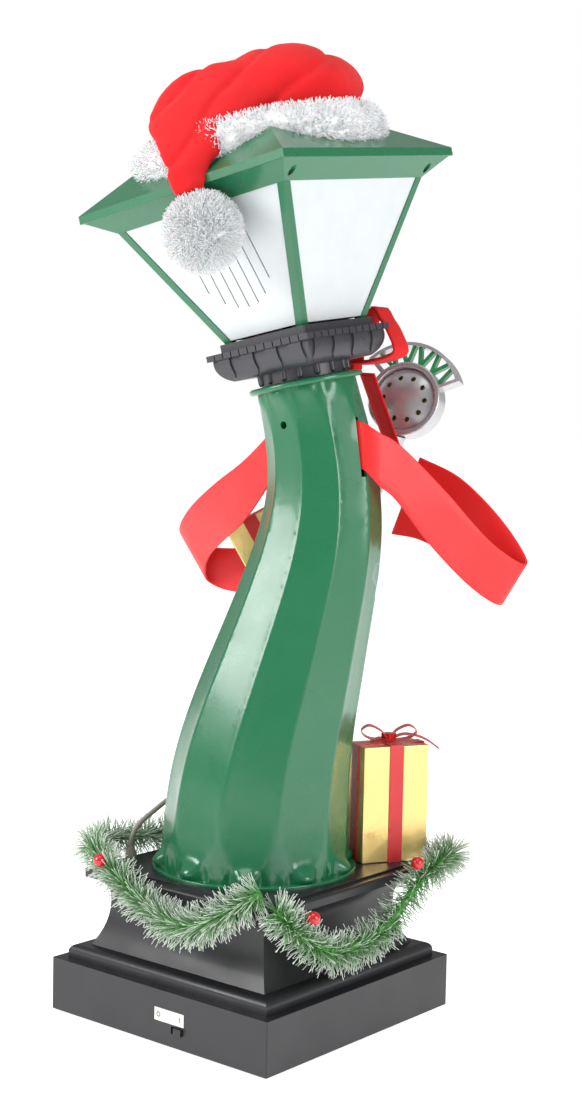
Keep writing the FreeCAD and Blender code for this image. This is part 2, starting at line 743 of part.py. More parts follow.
def build_drive():
    """Write the bracket, the neck bearing, the motor and its gears."""
    plate_low = BRACKET_TOP - BRACKET_THICKNESS
    inner = NECK_BORE - FIT_GAP
    plate = Part.makeCylinder(inner, BRACKET_THICKNESS, V(0, 0, plate_low))
    plate = plate.cut(Part.makeCylinder(BUSH_RADIUS, 20, V(0, 0, plate_low - 5)))
    legs = [
        cube((GEAR_CENTRES - 8, s * 12.0 - 1.0, TAB_BOTTOM), (GEAR_CENTRES + 8, s * 12.0 + 1.0, plate_low))
        for s in HALVES
    ]
    tab = cube((12, -13, TAB_BOTTOM), (GEAR_CENTRES + 8, 13, TAB_TOP))
    tab = tab.cut(Part.makeCylinder(SHAFT_RADIUS + 1.0, 8, V(GEAR_CENTRES, 0, TAB_BOTTOM - 2)))
    save_head("motor_bracket", fuse([plate, *legs, tab]))

    bush = tube(BUSH_RADIUS, SPINDLE_RADIUS + RUNNING_GAP, plate_low - 1.5, BRACKET_TOP + 5.0)
    flange = tube(BUSH_RADIUS + 3, SPINDLE_RADIUS + RUNNING_GAP, BRACKET_TOP, BRACKET_TOP + 2.0)
    save_head("neck_bushing", bush.fuse(flange).removeSplitter())

    centre = V(GEAR_CENTRES, 0, 0)
    can = Part.makeCylinder(MOTOR_RADIUS, MOTOR_LENGTH, centre + Z * (TAB_BOTTOM - MOTOR_LENGTH))
    can = can.makeFillet(1.5, [e for e in can.Edges if e.Closed and e.CenterOfMass.z < TAB_BOTTOM - 1])
    shaft = Part.makeCylinder(SHAFT_RADIUS, 9.0, centre + Z * (TAB_BOTTOM - 1))
    save_head("drive_motor", can.fuse(shaft))

    half_tooth = math.pi / PINION_TEETH
    pinion = gear(PINION_TEETH, GEAR_FACE + 1, SHAFT_RADIUS + RUNNING_GAP, math.pi + half_tooth)
    pinion.translate(centre + Z * (GEAR_BOTTOM - 0.5))
    save_head("drive_pinion", pinion)

    wheel = gear(NECK_GEAR_TEETH, GEAR_FACE, SPINDLE_RADIUS)
    wheel.translate(Z * GEAR_BOTTOM)
    save_head("neck_gear", wheel)
    spindle_foot = GEAR_BOTTOM - 1.5
    spindle = tube(SPINDLE_RADIUS, SPINDLE_BORE, spindle_foot, COLLAR_FLOOR)
    hub = tube(16.0, SPINDLE_BORE, COLLAR_FLOOR - 3.0, COLLAR_FLOOR)
    save_head("neck_spindle", spindle.fuse(hub).removeSplitter())


# ---------------------------------------------------------------- lantern head
COLLAR_BOTTOM = 0.6
COLLAR_FLOOR = BOWL_BOTTOM - 2.6
RIM_TOP = RIM_BOTTOM + RIM_THICKNESS
ROOF_RISE = math.tan(math.radians(ROOF_PITCH))
APEX = EAVE_TOP + ROOF_SIDE / 2 * ROOF_RISE
FLARE = (LANTERN_MOUTH - LANTERN_FOOT) / 2 / (PANEL_TOP - PANEL_BOTTOM)


def lantern_half(height):
    """Half width of the glazed part at a height."""
    return LANTERN_FOOT / 2 + (height - PANEL_BOTTOM) * FLARE


def neck_collar():
    """Ribbed ring under the bowl, with a floor that takes the spindle."""
    ring = Part.makeCylinder(COLLAR_RADIUS, BOWL_BOTTOM - COLLAR_BOTTOM, V(0, 0, COLLAR_BOTTOM))
    hollow = Part.makeCylinder(COLLAR_RADIUS - WALL, COLLAR_FLOOR - COLLAR_BOTTOM, V(0, 0, COLLAR_BOTTOM))
    ring = ring.cut(hollow)
    ring = ring.cut(Part.makeCylinder(SPINDLE_BORE, 20, V(0, 0, COLLAR_BOTTOM)))
    rib_radius = 2.7
    ribs = []
    for i in range(COLLAR_RIBS):
        at = heading(360.0 * (i + 0.5) / COLLAR_RIBS) * (COLLAR_RADIUS - 0.4)
        rib_low = COLLAR_BOTTOM + rib_radius + 0.6
        rib = Part.makeCylinder(rib_radius, BOWL_BOTTOM - rib_low, at + Z * rib_low)
        tip = Part.makeSphere(rib_radius, at + Z * (COLLAR_BOTTOM + rib_radius + 0.6))
        ribs.append(rib.fuse(tip))
    return biggest(fuse([ring, *ribs]).cut(hollow))


def bowl_body(grow):
    """Square bowl with bulging sides, from its foot to the rim."""
    foot, mouth = BOWL_FOOT / 2 + grow, BOWL_MOUTH / 2 + grow
    edges = [
        [(foot, BOWL_BOTTOM), (mouth - 1.6, BOWL_BOTTOM + 8.6), (mouth, RIM_BOTTOM)],
    ]
    return mitred(RIM_SIDE, BOWL_BOTTOM, RIM_BOTTOM, edges)


def fluted_bowl():
    """Bowl with raised tongues, open inside for the wires."""
    body = bowl_body(0.0)
    pitch = BOWL_MOUTH / 4
    wide = pitch / 2
    tongues = []
    for i in range(4):
        middle = (i - 1.5) * pitch
        base = BOWL_BOTTOM + wide / 2 + 1.5
        bar = cube((middle - wide / 2, -RIM_SIDE, base), (middle + wide / 2, RIM_SIDE, RIM_BOTTOM))
        end = rod(wide / 2, V(middle, -RIM_SIDE, base), V(middle, RIM_SIDE, base))
        tongues += [bar, end]
    comb = fuse(tongues)
    crossed = comb.copy()
    crossed.rotate(V(0, 0, 0), Z, 90)
    raised = bowl_body(1.7).common(comb.fuse(crossed))
    bowl = body.fuse(raised).removeSplitter()
    hollow = slab(BOWL_FOOT - 8, BOWL_BOTTOM + WALL, RIM_BOTTOM + 1, 4.0)
    return bowl.cut(hollow).cut(Part.makeCylinder(SPINDLE_BORE + 4, 20, V(0, 0, 0)))


def lantern_tray():
    """Notched rim with the plain square collar that the lantern stands in."""
    rim = slab(RIM_SIDE, RIM_BOTTOM, RIM_TOP, 0.6)
    pitch = RIM_SIDE / RIM_TEETH
    notch_depth, notch_width = 3.2, 1.1
    notches = []
    for i in range(1, RIM_TEETH):
        at = i * pitch - RIM_SIDE / 2
        for s in HALVES:
            edge = s * RIM_SIDE / 2
            low, high = sorted((edge - s * notch_depth, edge + s * 1.0))
            start, end = at - notch_width / 2, at + notch_width / 2
            notches.append(cube((start, low, RIM_BOTTOM - 1), (end, high, RIM_TOP + 1)))
            notches.append(cube((low, start, RIM_BOTTOM - 1), (high, end, RIM_TOP + 1)))
    rim = rim.cut(notches)
    collar = slab(TRAY_SIDE, RIM_TOP, TRAY_TOP, 1.0)
    tray = rim.fuse(collar)
    tray = tray.cut(slab(TRAY_SIDE - 2 * WALL, RIM_TOP + WALL, TRAY_TOP + 1))
    return tray.cut(Part.makeCylinder(12, 30, V(0, 0, RIM_BOTTOM - 5))).removeSplitter()


def post(sx, sy):
    """One corner post that follows the flare of the lantern."""
    wires = []
    for height in (TRAY_TOP, PANEL_TOP):
        outer = lantern_half(height) + 0.9
        inner = lantern_half(height) - POST_WIDTH
        corners = [(outer, outer), (inner, outer), (inner, inner), (outer, inner)]
        marks = [V(sx * a, sy * b, height) for a, b in corners]
        wires.append(Part.makePolygon([*marks, marks[0]]))
    return Part.makeLoft(wires, True, True)


BAND_SCREW_PLACE = 89.5
BAND_SCREW_Z = 153.3


def lantern_frame():
    """Four posts and the flared band under the eaves."""
    low_side = LANTERN_MOUTH + 1.8
    high_side = ROOF_SIDE - 5.0
    band = frustum(low_side, high_side, PANEL_TOP, EAVE_BOTTOM)
    inner = frustum(low_side - 14, high_side - 14, PANEL_TOP - 0.01, EAVE_BOTTOM + 0.01)
    band = band.cut(inner)
    frame = band.fuse([post(sx, sy) for sx in HALVES for sy in HALVES])
    for sx in HALVES:
        for sy in HALVES:
            at = V(sx * (ROOF_SIDE / 2 - 22), sy * BAND_SCREW_PLACE, BAND_SCREW_Z)
            frame = frame.cut(rod(3.1, at + X * (sx * 1.5), at + X * (sx * 30)))
            frame = frame.cut(rod(SCREW_RADIUS, at - X * (sx * 8), at + X * (sx * 2)))
    return biggest(frame.removeSplitter())


def panel(turn, slotted=False):
    """One pane between two posts, seen from outside with its wide edge up."""
    wires = []
    for height in (PANEL_BOTTOM, PANEL_TOP):
        half = lantern_half(height)
        reach = half - POST_WIDTH - 0.2
        marks = [
            V(reach, half - 0.2, height),
            V(-reach, half - 0.2, height),
            V(-reach, half - 0.2 - PANEL_THICKNESS, height),
            V(reach, half - 0.2 - PANEL_THICKNESS, height),
        ]
        wires.append(Part.makePolygon([*marks, marks[0]]))
    pane = Part.makeLoft(wires, True, True)
    if slotted:
        for i in range(SLOT_COUNT):
            x = (i - (SLOT_COUNT - 1) / 2) * SLOT_PITCH
            tall = math.sqrt(SLOT_CIRCLE**2 - x**2)
            half = SLOT_WIDTH / 2
            pane = pane.cut(cube((x - half, 0, SLOT_CENTRE - tall), (x + half, 140, SLOT_CENTRE + tall)))
    pane.rotate(V(0, 0, 0), Z, turn)
    return pane


def pyramid(grow):
    """Solid of the roof planes, moved outwards, down to the eaves."""
    rise = grow / math.cos(math.radians(ROOF_PITCH))
    half = ROOF_SIDE / 2 + rise / ROOF_RISE
    corners = [V(sx * half, sy * half, EAVE_TOP) for sx, sy in ((1, 1), (-1, 1), (-1, -1), (1, -1))]
    tip = V(0, 0, EAVE_TOP + half * ROOF_RISE)
    faces = [Part.Face(Part.makePolygon([*corners, corners[0]]))]
    for a, b in zip(corners, [*corners[1:], corners[0]]):
        faces.append(Part.Face(Part.makePolygon([a, b, tip, a])))
    return Part.makeSolid(Part.makeShell(faces))


def roof():
    """Hipped roof shell with a straight fascia."""
    outer = pyramid(0.0).fuse(slab(ROOF_SIDE, EAVE_BOTTOM, EAVE_TOP)).removeSplitter()
    hollow = pyramid(-WALL).fuse(slab(ROOF_SIDE - 2 * WALL, EAVE_BOTTOM - 1, EAVE_TOP)).removeSplitter()
    return outer.cut(hollow)


def build_speaker():
    """Write the loudspeaker behind the slotted pane."""
    tilt = math.degrees(math.atan(FLARE))
    frame = tube(33.0, 29.0, 0, 2.0)
    cone = Part.makeCone(29.0, 11.0, 12.0, V(0, 0, 2.0)).cut(Part.makeCone(28.0, 10.0, 11.5, V(0, 0, 1.6)))
    magnet = Part.makeCylinder(15.0, 9.0, V(0, 0, 14.0))
    lip = Part.makeCylinder(29.2, 0.4, V(0, 0, 1.6)).cut(Part.makeCylinder(28.6, 3))
    speaker = fuse([frame, lip, cone, magnet])
    pane_depth = PANEL_THICKNESS / math.cos(math.radians(tilt))
    place = V(0, lantern_half(SLOT_CENTRE) - 0.6 - pane_depth, SLOT_CENTRE)
    speaker.rotate(V(0, 0, 0), X, 90 - tilt)
    speaker.translate(place)
    save_head("speaker", biggest(speaker))


def build_head():
    """Write the lantern head."""
    save_head("neck_collar", neck_collar())
    save_head("fluted_bowl", biggest(fluted_bowl()))
    save_head("lantern_tray", lantern_tray())
    save_head("lantern_frame", lantern_frame())
    save_head("rear_panel", panel(0, True))
    save_head("left_panel", panel(-90))
    save_head("front_panel", panel(180))
    save_head("right_panel", panel(90))
    save_head("roof", roof())
    screws = []
    for sx in HALVES:
        for sy in HALVES:
            at = V(sx * (ROOF_SIDE / 2 - 22), sy * BAND_SCREW_PLACE, BAND_SCREW_Z)
            head = rod(2.9, at + X * (sx * 1.5), at + X * (sx * 3.5))
            screws.append(head.fuse(rod(SCREW_RADIUS - 0.05, at - X * (sx * 5), at + X * (sx * 2))))
    save_head("band_screws", group(screws))
    build_speaker()
    floor = RIM_TOP + WALL
    board = slab(44, floor + 5, floor + 6.6, 2.0)
    posts = [Part.makeCylinder(2.5, 5, p + Z * floor) for p in spread(17)]
    board = board.cut(Part.makeCylinder(5, 20, V(0, 0, floor)))
    lamps = []
    for i in range(4):
        at = heading(90 * i) * 14 + Z * (floor + 6.6)
        lamps += [Part.makeCylinder(2.5, 5, at), Part.makeSphere(2.5, at + Z * 5)]
    save_head("light_board", fuse([board, *posts, *lamps]))


# ---------------------------------------------------------------- hat and bow
ACROSS = V(-0.768, -0.640, 0)


def oval(centre, wide_dir, tall_dir, wide, tall):
    """Elliptical section of a soft piece."""
    u, v = unit(wide_dir), unit(tall_dir)
    if wide >= tall:
        ellipse = Part.Ellipse(centre + u * wide, centre + v * tall, centre)
    else:
        ellipse = Part.Ellipse(centre + v * tall, centre - u * wide, centre)
    return Part.Wire([ellipse.toShape()])


def build_hat():
    """Write the felt crown, the plush brim and the pompom."""
    low, high = BRIM_RANGE
    brim = tube(BRIM_RADIUS, BRIM_INNER, low - 14, high)
    brim = brim.makeFillet(9.0, [e for e in brim.Edges if e.Closed and abs(e.CenterOfMass.z - high) < 0.01])
    clear = pyramid(0.4).fuse(slab(ROOF_SIDE + 4, EAVE_BOTTOM - 1, EAVE_TOP))
    save_head("hat_brim", biggest(brim.cut(clear)))
    ball = Part.makeSphere(1.0)
    stretch = FreeCAD.Matrix()
    stretch.scale(76, 72, 44)
    crown = ball.transformGeometry(stretch)
    crown.translate(V(-16, -12, 225))
    crown = crown.cut(cube((-200, -200, 0), (200, 200, high + 0.3)))
    flap = Part.makeLoft(
        [
            oval(V(-6, 22, 243), ACROSS, Z, 52, 24),
            oval(V(-2, 62, 238), ACROSS, Z, 44, 22),
            oval(V(-12, 98, 214), ACROSS, V(0, 1, 0.7), 32, 15),
            oval(V(-22, 119, 180), ACROSS, Y, 20, 7),
            oval(V(-24, 120, 158), ACROSS, Y, 9, 5),
        ],
        True,
        False,
    )
    body = crown.fuse(flap).cut(clear).cut(Part.makeCylinder(BRIM_RADIUS + 0.3, 60, V(0, 0, high + 0.3 - 60)))
    save_head("hat_body", biggest(body))
    ball = Part.makeSphere(POMPOM_RADIUS, POMPOM_CENTRE)
    save_head("hat_pompom", ball.cut(cube((-60, 100, 151), (60, 200, 200))))


BOW_KNOT = V(-29, -81.5, 556)


def build_bow():
    """Write the ribbon bow at the front of the neck."""
    knot_half = V(9, 7, 9)
    knot = cube(BOW_KNOT - knot_half, BOW_KNOT + knot_half)
    save("bow_knot", knot.makeFillet(4.0, knot.Edges))
    loops = []
    for s in HALVES:
        start = BOW_KNOT + V(s * 14.4, 0, 3)
        marks = ((0, 0, 8, 5), (9, 6, 14, 8), (22, 14, 20, 9), (31, 19, 22, 8), (36, 22, 17, 4))
        wires = []
        for out, rise, tall, thick in marks:
            centre = start + V(s * out, -5 * out / marks[-1][0], rise)
            wires.append(oval(centre, V(-s * 0.69, 0, 1), Y, tall, thick))
        loops.append(Part.makeLoft(wires, True, False))
    save("bow_loops", group(loops))
    tails = []
    for s in HALVES:
        marks = (
            (13.5, -6, -13, -6),
            (15, -14, -31, -10),
            (22, -26, -62, 8),
            (28, -34, -94, 12),
        )
        wires = []
        for out, front, drop, twist in marks:
            centre = BOW_KNOT + V(s * out, front, drop)
            wide = V(s * 17, twist * 0.5, 0)
            across = unit(wide)
            face = unit(across.cross(Z))
            corners = [
                centre + across * 12 + face * 0.7,
                centre - across * 12 + face * 0.7,
                centre - across * 12 - face * 0.7,
                centre + across * 12 - face * 0.7,
            ]
            wires.append(Part.makePolygon([*corners, corners[0]]))
        tails.append(Part.makeLoft(wires, True, True))
    save("bow_tails", group(tails))


# ---------------------------------------------------------------- arms
def edge_curve(stations, side):
    """Smooth curve along one edge of a ribbon, with one unit of parameter between stations."""
    curve = Part.BSplineCurve()
    marks = [float(i) for i in range(len(stations))]
    curve.interpolate(Points=[s[side] for s in stations], Parameters=marks)
    return curve


def ribbon(stations, thickness):
    """Bent band between two smooth edge curves, with the given thickness across its face."""
    upper, lower = edge_curve(stations, 0), edge_curve(stations, 1)
    count = 4 * (len(stations) - 1)
    rows = [(upper.value(i / 4), lower.value(i / 4)) for i in range(count + 1)]
    middles = [(high + low) * 0.5 for high, low in rows]
    wires = []
    last = None
    for i, (high, low) in enumerate(rows):
        ahead = middles[min(i + 1, count)] - middles[max(i - 1, 0)]
        face = unit((high - low).cross(ahead))
        if last is not None and face.dot(last) < 0:
            face = face * -1
        last = face
        half = face * (thickness / 2)
        corners = [high + half, low + half, low - half, high - half]
        wires.append(Part.makePolygon([*corners, corners[0]]))
    return Part.makeLoft(wires, True, True)


def build_arms():
    """Write the two ribbon arms."""
    save("right_arm", ribbon(RIGHT_ARM, ARM_THICKNESS))
    save("left_arm", ribbon(LEFT_ARM, ARM_THICKNESS))


# ---------------------------------------------------------------- microphone and stand
MIC_NORMAL = unit(MIC_AXIS)
MIC_RISE = unit(MIC_UP - MIC_NORMAL * MIC_UP.dot(MIC_NORMAL))
MIC_SIDE = MIC_RISE.cross(MIC_NORMAL)
MIC_PLACE = FreeCAD.Placement(
    MIC_CENTRE, FreeCAD.Rotation(MIC_SIDE, MIC_RISE, MIC_SIDE.cross(MIC_RISE), "ZXY")
)


def on_mic(shape):
    """Move a shape drawn with the ring round Z and its top towards +Y onto the stand."""
    placed = shape.copy()
    placed.Placement = MIC_PLACE.multiply(placed.Placement)
    return placed


def sector(outer, inner, depth, half_angle):
    """Arc-shaped block round Z, centred on +Y."""
    there = [(outer, -half_angle), (outer, 0), (outer, half_angle)]
    marks = [*there, *((inner, -angle) for _, angle in there)]
    p = [V(r * math.sin(math.radians(a)), r * math.cos(math.radians(a)), -depth / 2) for r, a in marks]
    edges = [
        Part.Arc(p[0], p[1], p[2]).toShape(),
        Part.makeLine(p[2], p[3]),
        Part.Arc(p[3], p[4], p[5]).toShape(),
        Part.makeLine(p[5], p[0]),
    ]
    return Part.Face(Part.Wire(edges)).extrude(Z * depth)


GRILLE_HOLES = 10
GRILLE_HOLE_RADIUS = 2.3
GRILLE_CIRCLE = 19.0


def grille(side):
    """Domed plate with a circle of holes, for one face of the microphone."""
    radius = MIC_RADIUS - MIC_WALL - 1.2
    rise = 6.0
    sphere = (radius**2 + rise**2) / (2 * rise)
    face = MIC_DEPTH / 2 - 5.0
    dome = Part.makeSphere(sphere, V(0, 0, face + rise - sphere))
    shell = dome.cut(Part.makeSphere(sphere - 2.0, V(0, 0, face + rise - sphere)))
    shell = shell.common(Part.makeCylinder(radius, 2 * rise, V(0, 0, face - 1.0)))
    for i in range(GRILLE_HOLES):
        at = heading(360 * i / GRILLE_HOLES + 9) * GRILLE_CIRCLE
        shell = shell.cut(Part.makeCylinder(GRILLE_HOLE_RADIUS, 40, at))
    skirt = tube(radius, radius - 2.0, face - 4.5, face - 0.5)
    shell = shell.fuse(skirt)
    bridge = tube(MIC_RADIUS - MIC_WALL, radius - 2.0, face - 4.5, face - 3.0)
    shell = shell.fuse(bridge).removeSplitter()
    if side < 0:
        shell.rotate(V(0, 0, 0), X, 180)
    return biggest(shell)


def build_microphone():
    """Write the microphone, its banner and its stand."""
    ring = tube(MIC_RADIUS, MIC_RADIUS - MIC_WALL, -MIC_DEPTH / 2, MIC_DEPTH / 2)
    rims = [e for e in ring.Edges if e.Closed and e.Length > 1]
    save("mic_ring", on_mic(ring.makeFillet(1.4, rims)))
    save("mic_rear_grille", on_mic(grille(1)))
    save("mic_front_grille", on_mic(grille(-1)))
    screws = []
    for i in (1, 4, 6, 9):
        at = heading(360 * i / GRILLE_HOLES + 9) * GRILLE_CIRCLE
        screws.append(Part.makeCylinder(2.0, 4.0, at - Z * 1.0))
    core = tube(GRILLE_CIRCLE + 3.0, GRILLE_CIRCLE - 3.0, -2.0, -0.8)
    save("mic_core", on_mic(fuse([core, *screws])))
    wall = 3.0
    arch = sector(BANNER_RADIUS, BANNER_RADIUS - wall, BANNER_DEPTH, BANNER_SPAN)
    ends = []
    for s in HALVES:
        reach = BANNER_DEPTH / 2
        end = cube((-wall / 2, MIC_RADIUS - 0.4, -reach), (wall / 2, BANNER_RADIUS - 0.4, reach))
        end.rotate(V(0, 0, 0), Z, -s * (BANNER_SPAN - 1.6))
        ends.append(end)
    hollow = Part.makeCylinder(MIC_RADIUS, MIC_DEPTH * 2, V(0, 0, -MIC_DEPTH))
    save("banner_frame", on_mic(fuse([arch, *ends]).cut(hollow)))
    bars = []
    for i in range(BAR_COUNT):
        angle = (i - (BAR_COUNT - 1) / 2) * (2 * BANNER_SPAN - 18) / BAR_COUNT
        bar = cube((-1.6, MIC_RADIUS - 2, -3), (1.6, BANNER_RADIUS, 3))
        bar.rotate(V(0, (MIC_RADIUS + BANNER_RADIUS) / 2, 0), Z, 16 if i % 2 else -16)
        bar.rotate(V(0, 0, 0), Z, -angle)
        bars.append(bar)
    inside = sector(BANNER_RADIUS - wall, MIC_RADIUS, BANNER_DEPTH, BANNER_SPAN)
    lattice = fuse(bars).cut(hollow).common(inside)
    save("banner_bars", on_mic(group(lattice.Solids)))

    neck = MIC_CENTRE - MIC_RISE * (MIC_RADIUS - 1.5)
    foot_top = STAND_FOOT + Z * STAND_FOOT_HEIGHT
    along = unit(foot_top - neck)
    socket_end = neck + along * 46
    ring_space = on_mic(Part.makeCylinder(MIC_RADIUS, MIC_DEPTH * 2, V(0, 0, -MIC_DEPTH)))
    socket = rod(STAND_RADIUS + 2.4, neck, socket_end).cut(ring_space)
    socket = socket.cut(rod(STAND_RADIUS + RUNNING_GAP, neck + along * 20, socket_end + along * 5))
    save("mic_socket", biggest(socket))
    foot = Part.makeCylinder(STAND_FOOT_RADIUS, STAND_FOOT_HEIGHT, STAND_FOOT)
    rim = [e for e in foot.Edges if e.Closed and e.CenterOfMass.z > STAND_FOOT.z + 1]
    foot = foot.makeFillet(3.0, rim)
    stand_end = foot_top - Z * 3.0
    stand = rod(STAND_RADIUS, neck + along * 20, stand_end)
    stand = stand.cut(cube((0, -200, 0), (200, 0, PLATE_TOP + STAND_FOOT_HEIGHT - 4.0)))
    save("stand_foot", foot.cut(stand))
    save("stand_tube", stand)


# ---------------------------------------------------------------- cable and garland
def cord_path(points):
    """Straight runs joined by tangent arcs as large as the runs allow."""
    arcs = {}
    for i in range(1, len(points) - 1):
        before, at, after = points[i - 1 : i + 2]
        back, ahead = unit(before - at), unit(after - at)
        shorter = min(before.distanceToPoint(at), after.distanceToPoint(at))
        half_turn = (math.pi - back.getAngle(ahead)) / 2
        reach = 0.45 * shorter
        radius = reach / math.tan(half_turn)
        middle = unit(back + ahead)
        to_centre = math.hypot(radius, reach)
        arcs[i] = (at + back * reach, at + middle * (to_centre - radius), at + ahead * reach, radius)
    print("  arc radii", [round(a[3], 1) for a in arcs.values()])
    edges = []
    for i in range(len(points) - 1):
        start = arcs[i][2] if i in arcs else points[i]
        end = arcs[i + 1][0] if i + 1 in arcs else points[i + 1]
        edges.append(Part.LineSegment(start, end).toShape())
        if i + 1 in arcs:
            edges.append(Part.Arc(*arcs[i + 1][:3]).toShape())
    return Part.Wire(edges)


def swept(path, diameter):
    """Round tube along a path."""
    first = path.Edges[0]
    start = first.valueAt(first.FirstParameter)
    profile = Part.Wire([Part.makeCircle(diameter / 2, start, first.tangentAt(first.FirstParameter))])
    pipe = path.makePipeShell([profile], True, True)
    expected = math.pi * diameter**2 / 4 * path.Length
    print(f"  length {path.Length:.0f}, volume over section times length {pipe.Volume / expected:.4f}")
    return pipe


def build_cords():
    """Write the microphone cable, its grommet and the garland."""
    start = CABLE_ROUTE[0]
    save("mic_cable", swept(cord_path(CABLE_ROUTE), CABLE_DIAMETER))
    ground = V(start.x, start.y, 0)
    grommet = tube(CABLE_DIAMETER / 2 + 2.0, CABLE_DIAMETER / 2, PLATE_BOTTOM, PLATE_TOP, ground)
    wire = CABLE_DIAMETER / 2
    cap = Part.makeCone(wire + 3.2, wire + 1.2, start.z - PLATE_TOP, ground + Z * PLATE_TOP)
    cap = cap.cut(Part.makeCylinder(CABLE_DIAMETER / 2 - 0.6, 40, ground + Z * (PLATE_TOP - 1)))
    save("cable_grommet", grommet.fuse(cap).removeSplitter())
    save("garland_core", swept(cord_path(GARLAND_ROUTE), GARLAND_DIAMETER))
    save("garland_berries", group([Part.makeSphere(BERRY_RADIUS, c) for c in BERRY_CENTRES]))


# ---------------------------------------------------------------- gifts
def build_gifts():
    """Write the gift on the plate and the one held in the left arm."""
    long, deep, tall = GIFT_SIZE
    run = heading(GIFT_HEADING)
    place = FreeCAD.Placement(GIFT_CORNER, FreeCAD.Rotation(X, run))

    def on_plate(shape):
        """Stand a shape on the plate, along the gift's own sides."""
        placed = shape.copy()
        placed.Placement = place.multiply(placed.Placement)
        return placed

    box = cube((0, 0, 0), (long, deep, tall))
    save("gift_box", on_plate(box.makeFillet(1.2, box.Edges)))
    t = RIBBON_THICKNESS
    band = cube((long / 2 - GIFT_RIBBON / 2, -t, 0), (long / 2 + GIFT_RIBBON / 2, deep + t, tall + t))
    cross = cube((-t, deep / 2 - GIFT_RIBBON / 2, 0), (long + t, deep / 2 + GIFT_RIBBON / 2, tall + t))
    ribbons = band.fuse(cross).cut(cube((0, 0, -1), (long, deep, tall)))
    save("gift_ribbon", on_plate(ribbons.removeSplitter()))
    middle = V(long / 2, deep / 2, tall + t)
    loops = []
    for s in HALVES:
        sections = ((3, 4, 3, 3), (12, 8, 7, 6), (22, 9, 6, 5))
        wires = [
            oval(middle + V(s * out, 0, up), Y, Z, wide, tall_half)
            for out, up, wide, tall_half in sections
        ]
        loops.append(Part.makeLoft(wires, True, False))
    knot = Part.makeCylinder(4.0, 7.0, middle)
    save("gift_bow", on_plate(fuse([knot, *loops])))

    wide, thick, high = HELD_GIFT_SIZE
    held = cube((-wide / 2, -thick / 2, -high / 2), (wide / 2, thick / 2, high / 2))
    view = V(0.6388, -0.7694, 0)
    turn = FreeCAD.Rotation(view, HELD_GIFT_TILT).multiply(FreeCAD.Rotation(X, ACROSS))
    held_place = FreeCAD.Placement(HELD_GIFT_CENTRE, turn)
    box = held.makeFillet(1.0, held.Edges)
    box.Placement = held_place
    save("held_gift_box", box)
    half = GIFT_RIBBON / 2
    band = cube((-half, -thick / 2 - t, -high / 2 - t), (half, thick / 2 + t, high / 2 + t))
    cross = cube((-wide / 2 - t, -half, -high / 2 - t), (wide / 2 + t, half, high / 2 + t))
    ribbons = band.fuse(cross).cut(held).removeSplitter()
    ribbons.Placement = held_place
    save("held_gift_ribbon", ribbons)


def main():
    """Build the whole assembly."""
    os.makedirs(OUT, exist_ok=True)
    build_base()
    build_column()
    build_drive()
    build_head()
    build_hat()
    build_bow()
    build_arms()
    build_microphone()
    build_cords()
    build_gifts()


main()
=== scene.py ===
"""Dresses a tabletop lamp-post figure with a plush hat, ribbon arms, a microphone and gifts."""

import json
import logging
import math
import random
from dataclasses import dataclass, field
from enum import Enum
from typing import Callable, Dict, List, Optional, Sequence, Tuple

import bmesh
import bpy
from mathutils import Matrix, Vector, noise

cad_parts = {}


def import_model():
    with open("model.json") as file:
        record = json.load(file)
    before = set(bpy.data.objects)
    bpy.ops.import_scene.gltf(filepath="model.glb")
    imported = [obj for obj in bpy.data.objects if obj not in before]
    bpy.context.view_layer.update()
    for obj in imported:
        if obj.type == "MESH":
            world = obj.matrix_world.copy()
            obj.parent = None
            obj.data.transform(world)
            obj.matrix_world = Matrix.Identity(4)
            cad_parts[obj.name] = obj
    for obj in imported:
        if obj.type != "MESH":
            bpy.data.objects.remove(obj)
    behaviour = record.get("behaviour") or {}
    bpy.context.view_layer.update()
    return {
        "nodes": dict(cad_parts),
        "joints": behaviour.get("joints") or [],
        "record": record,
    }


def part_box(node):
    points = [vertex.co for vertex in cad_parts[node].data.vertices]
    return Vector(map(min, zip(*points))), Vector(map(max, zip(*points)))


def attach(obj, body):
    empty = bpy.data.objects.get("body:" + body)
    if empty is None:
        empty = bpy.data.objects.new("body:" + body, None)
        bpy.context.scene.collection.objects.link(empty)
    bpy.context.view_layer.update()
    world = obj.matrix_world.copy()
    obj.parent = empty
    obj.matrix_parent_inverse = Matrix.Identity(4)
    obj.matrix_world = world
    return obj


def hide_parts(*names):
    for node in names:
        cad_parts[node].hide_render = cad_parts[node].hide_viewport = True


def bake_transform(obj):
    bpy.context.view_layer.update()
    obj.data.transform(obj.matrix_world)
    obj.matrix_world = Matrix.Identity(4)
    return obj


logging.basicConfig(level=logging.INFO, format="%(message)s")
LOG = logging.getLogger("lamp_post")
MM = 0.001
COAT_ROUGHNESS = 0.12
SUBSURFACE_SCALE = 0.004
MOTTLE_SCALE = 45.0
BUMP_STRENGTH = 0.5
STRIP_ROWS = 4
ARM_ROWS = 6
Colour = Tuple[float, float, float]
Point = Tuple[float, float, float]


def mm(point: Sequence[float]) -> Vector:
    """Return a point given in millimetres as a vector in metres."""
    return Vector(point) * MM


class Pattern(Enum):
    """Surface relief that a finish carries."""

    GRAIN = "moulded grain"
    GLOSS = "smooth moulding with faint ripple"
    FELT = "matted fibre"
    WEAVE = "woven threads"
    CRUMPLE = "creased foil"
    PLUSH = "pile"
    BRUSHED = "brushed metal"


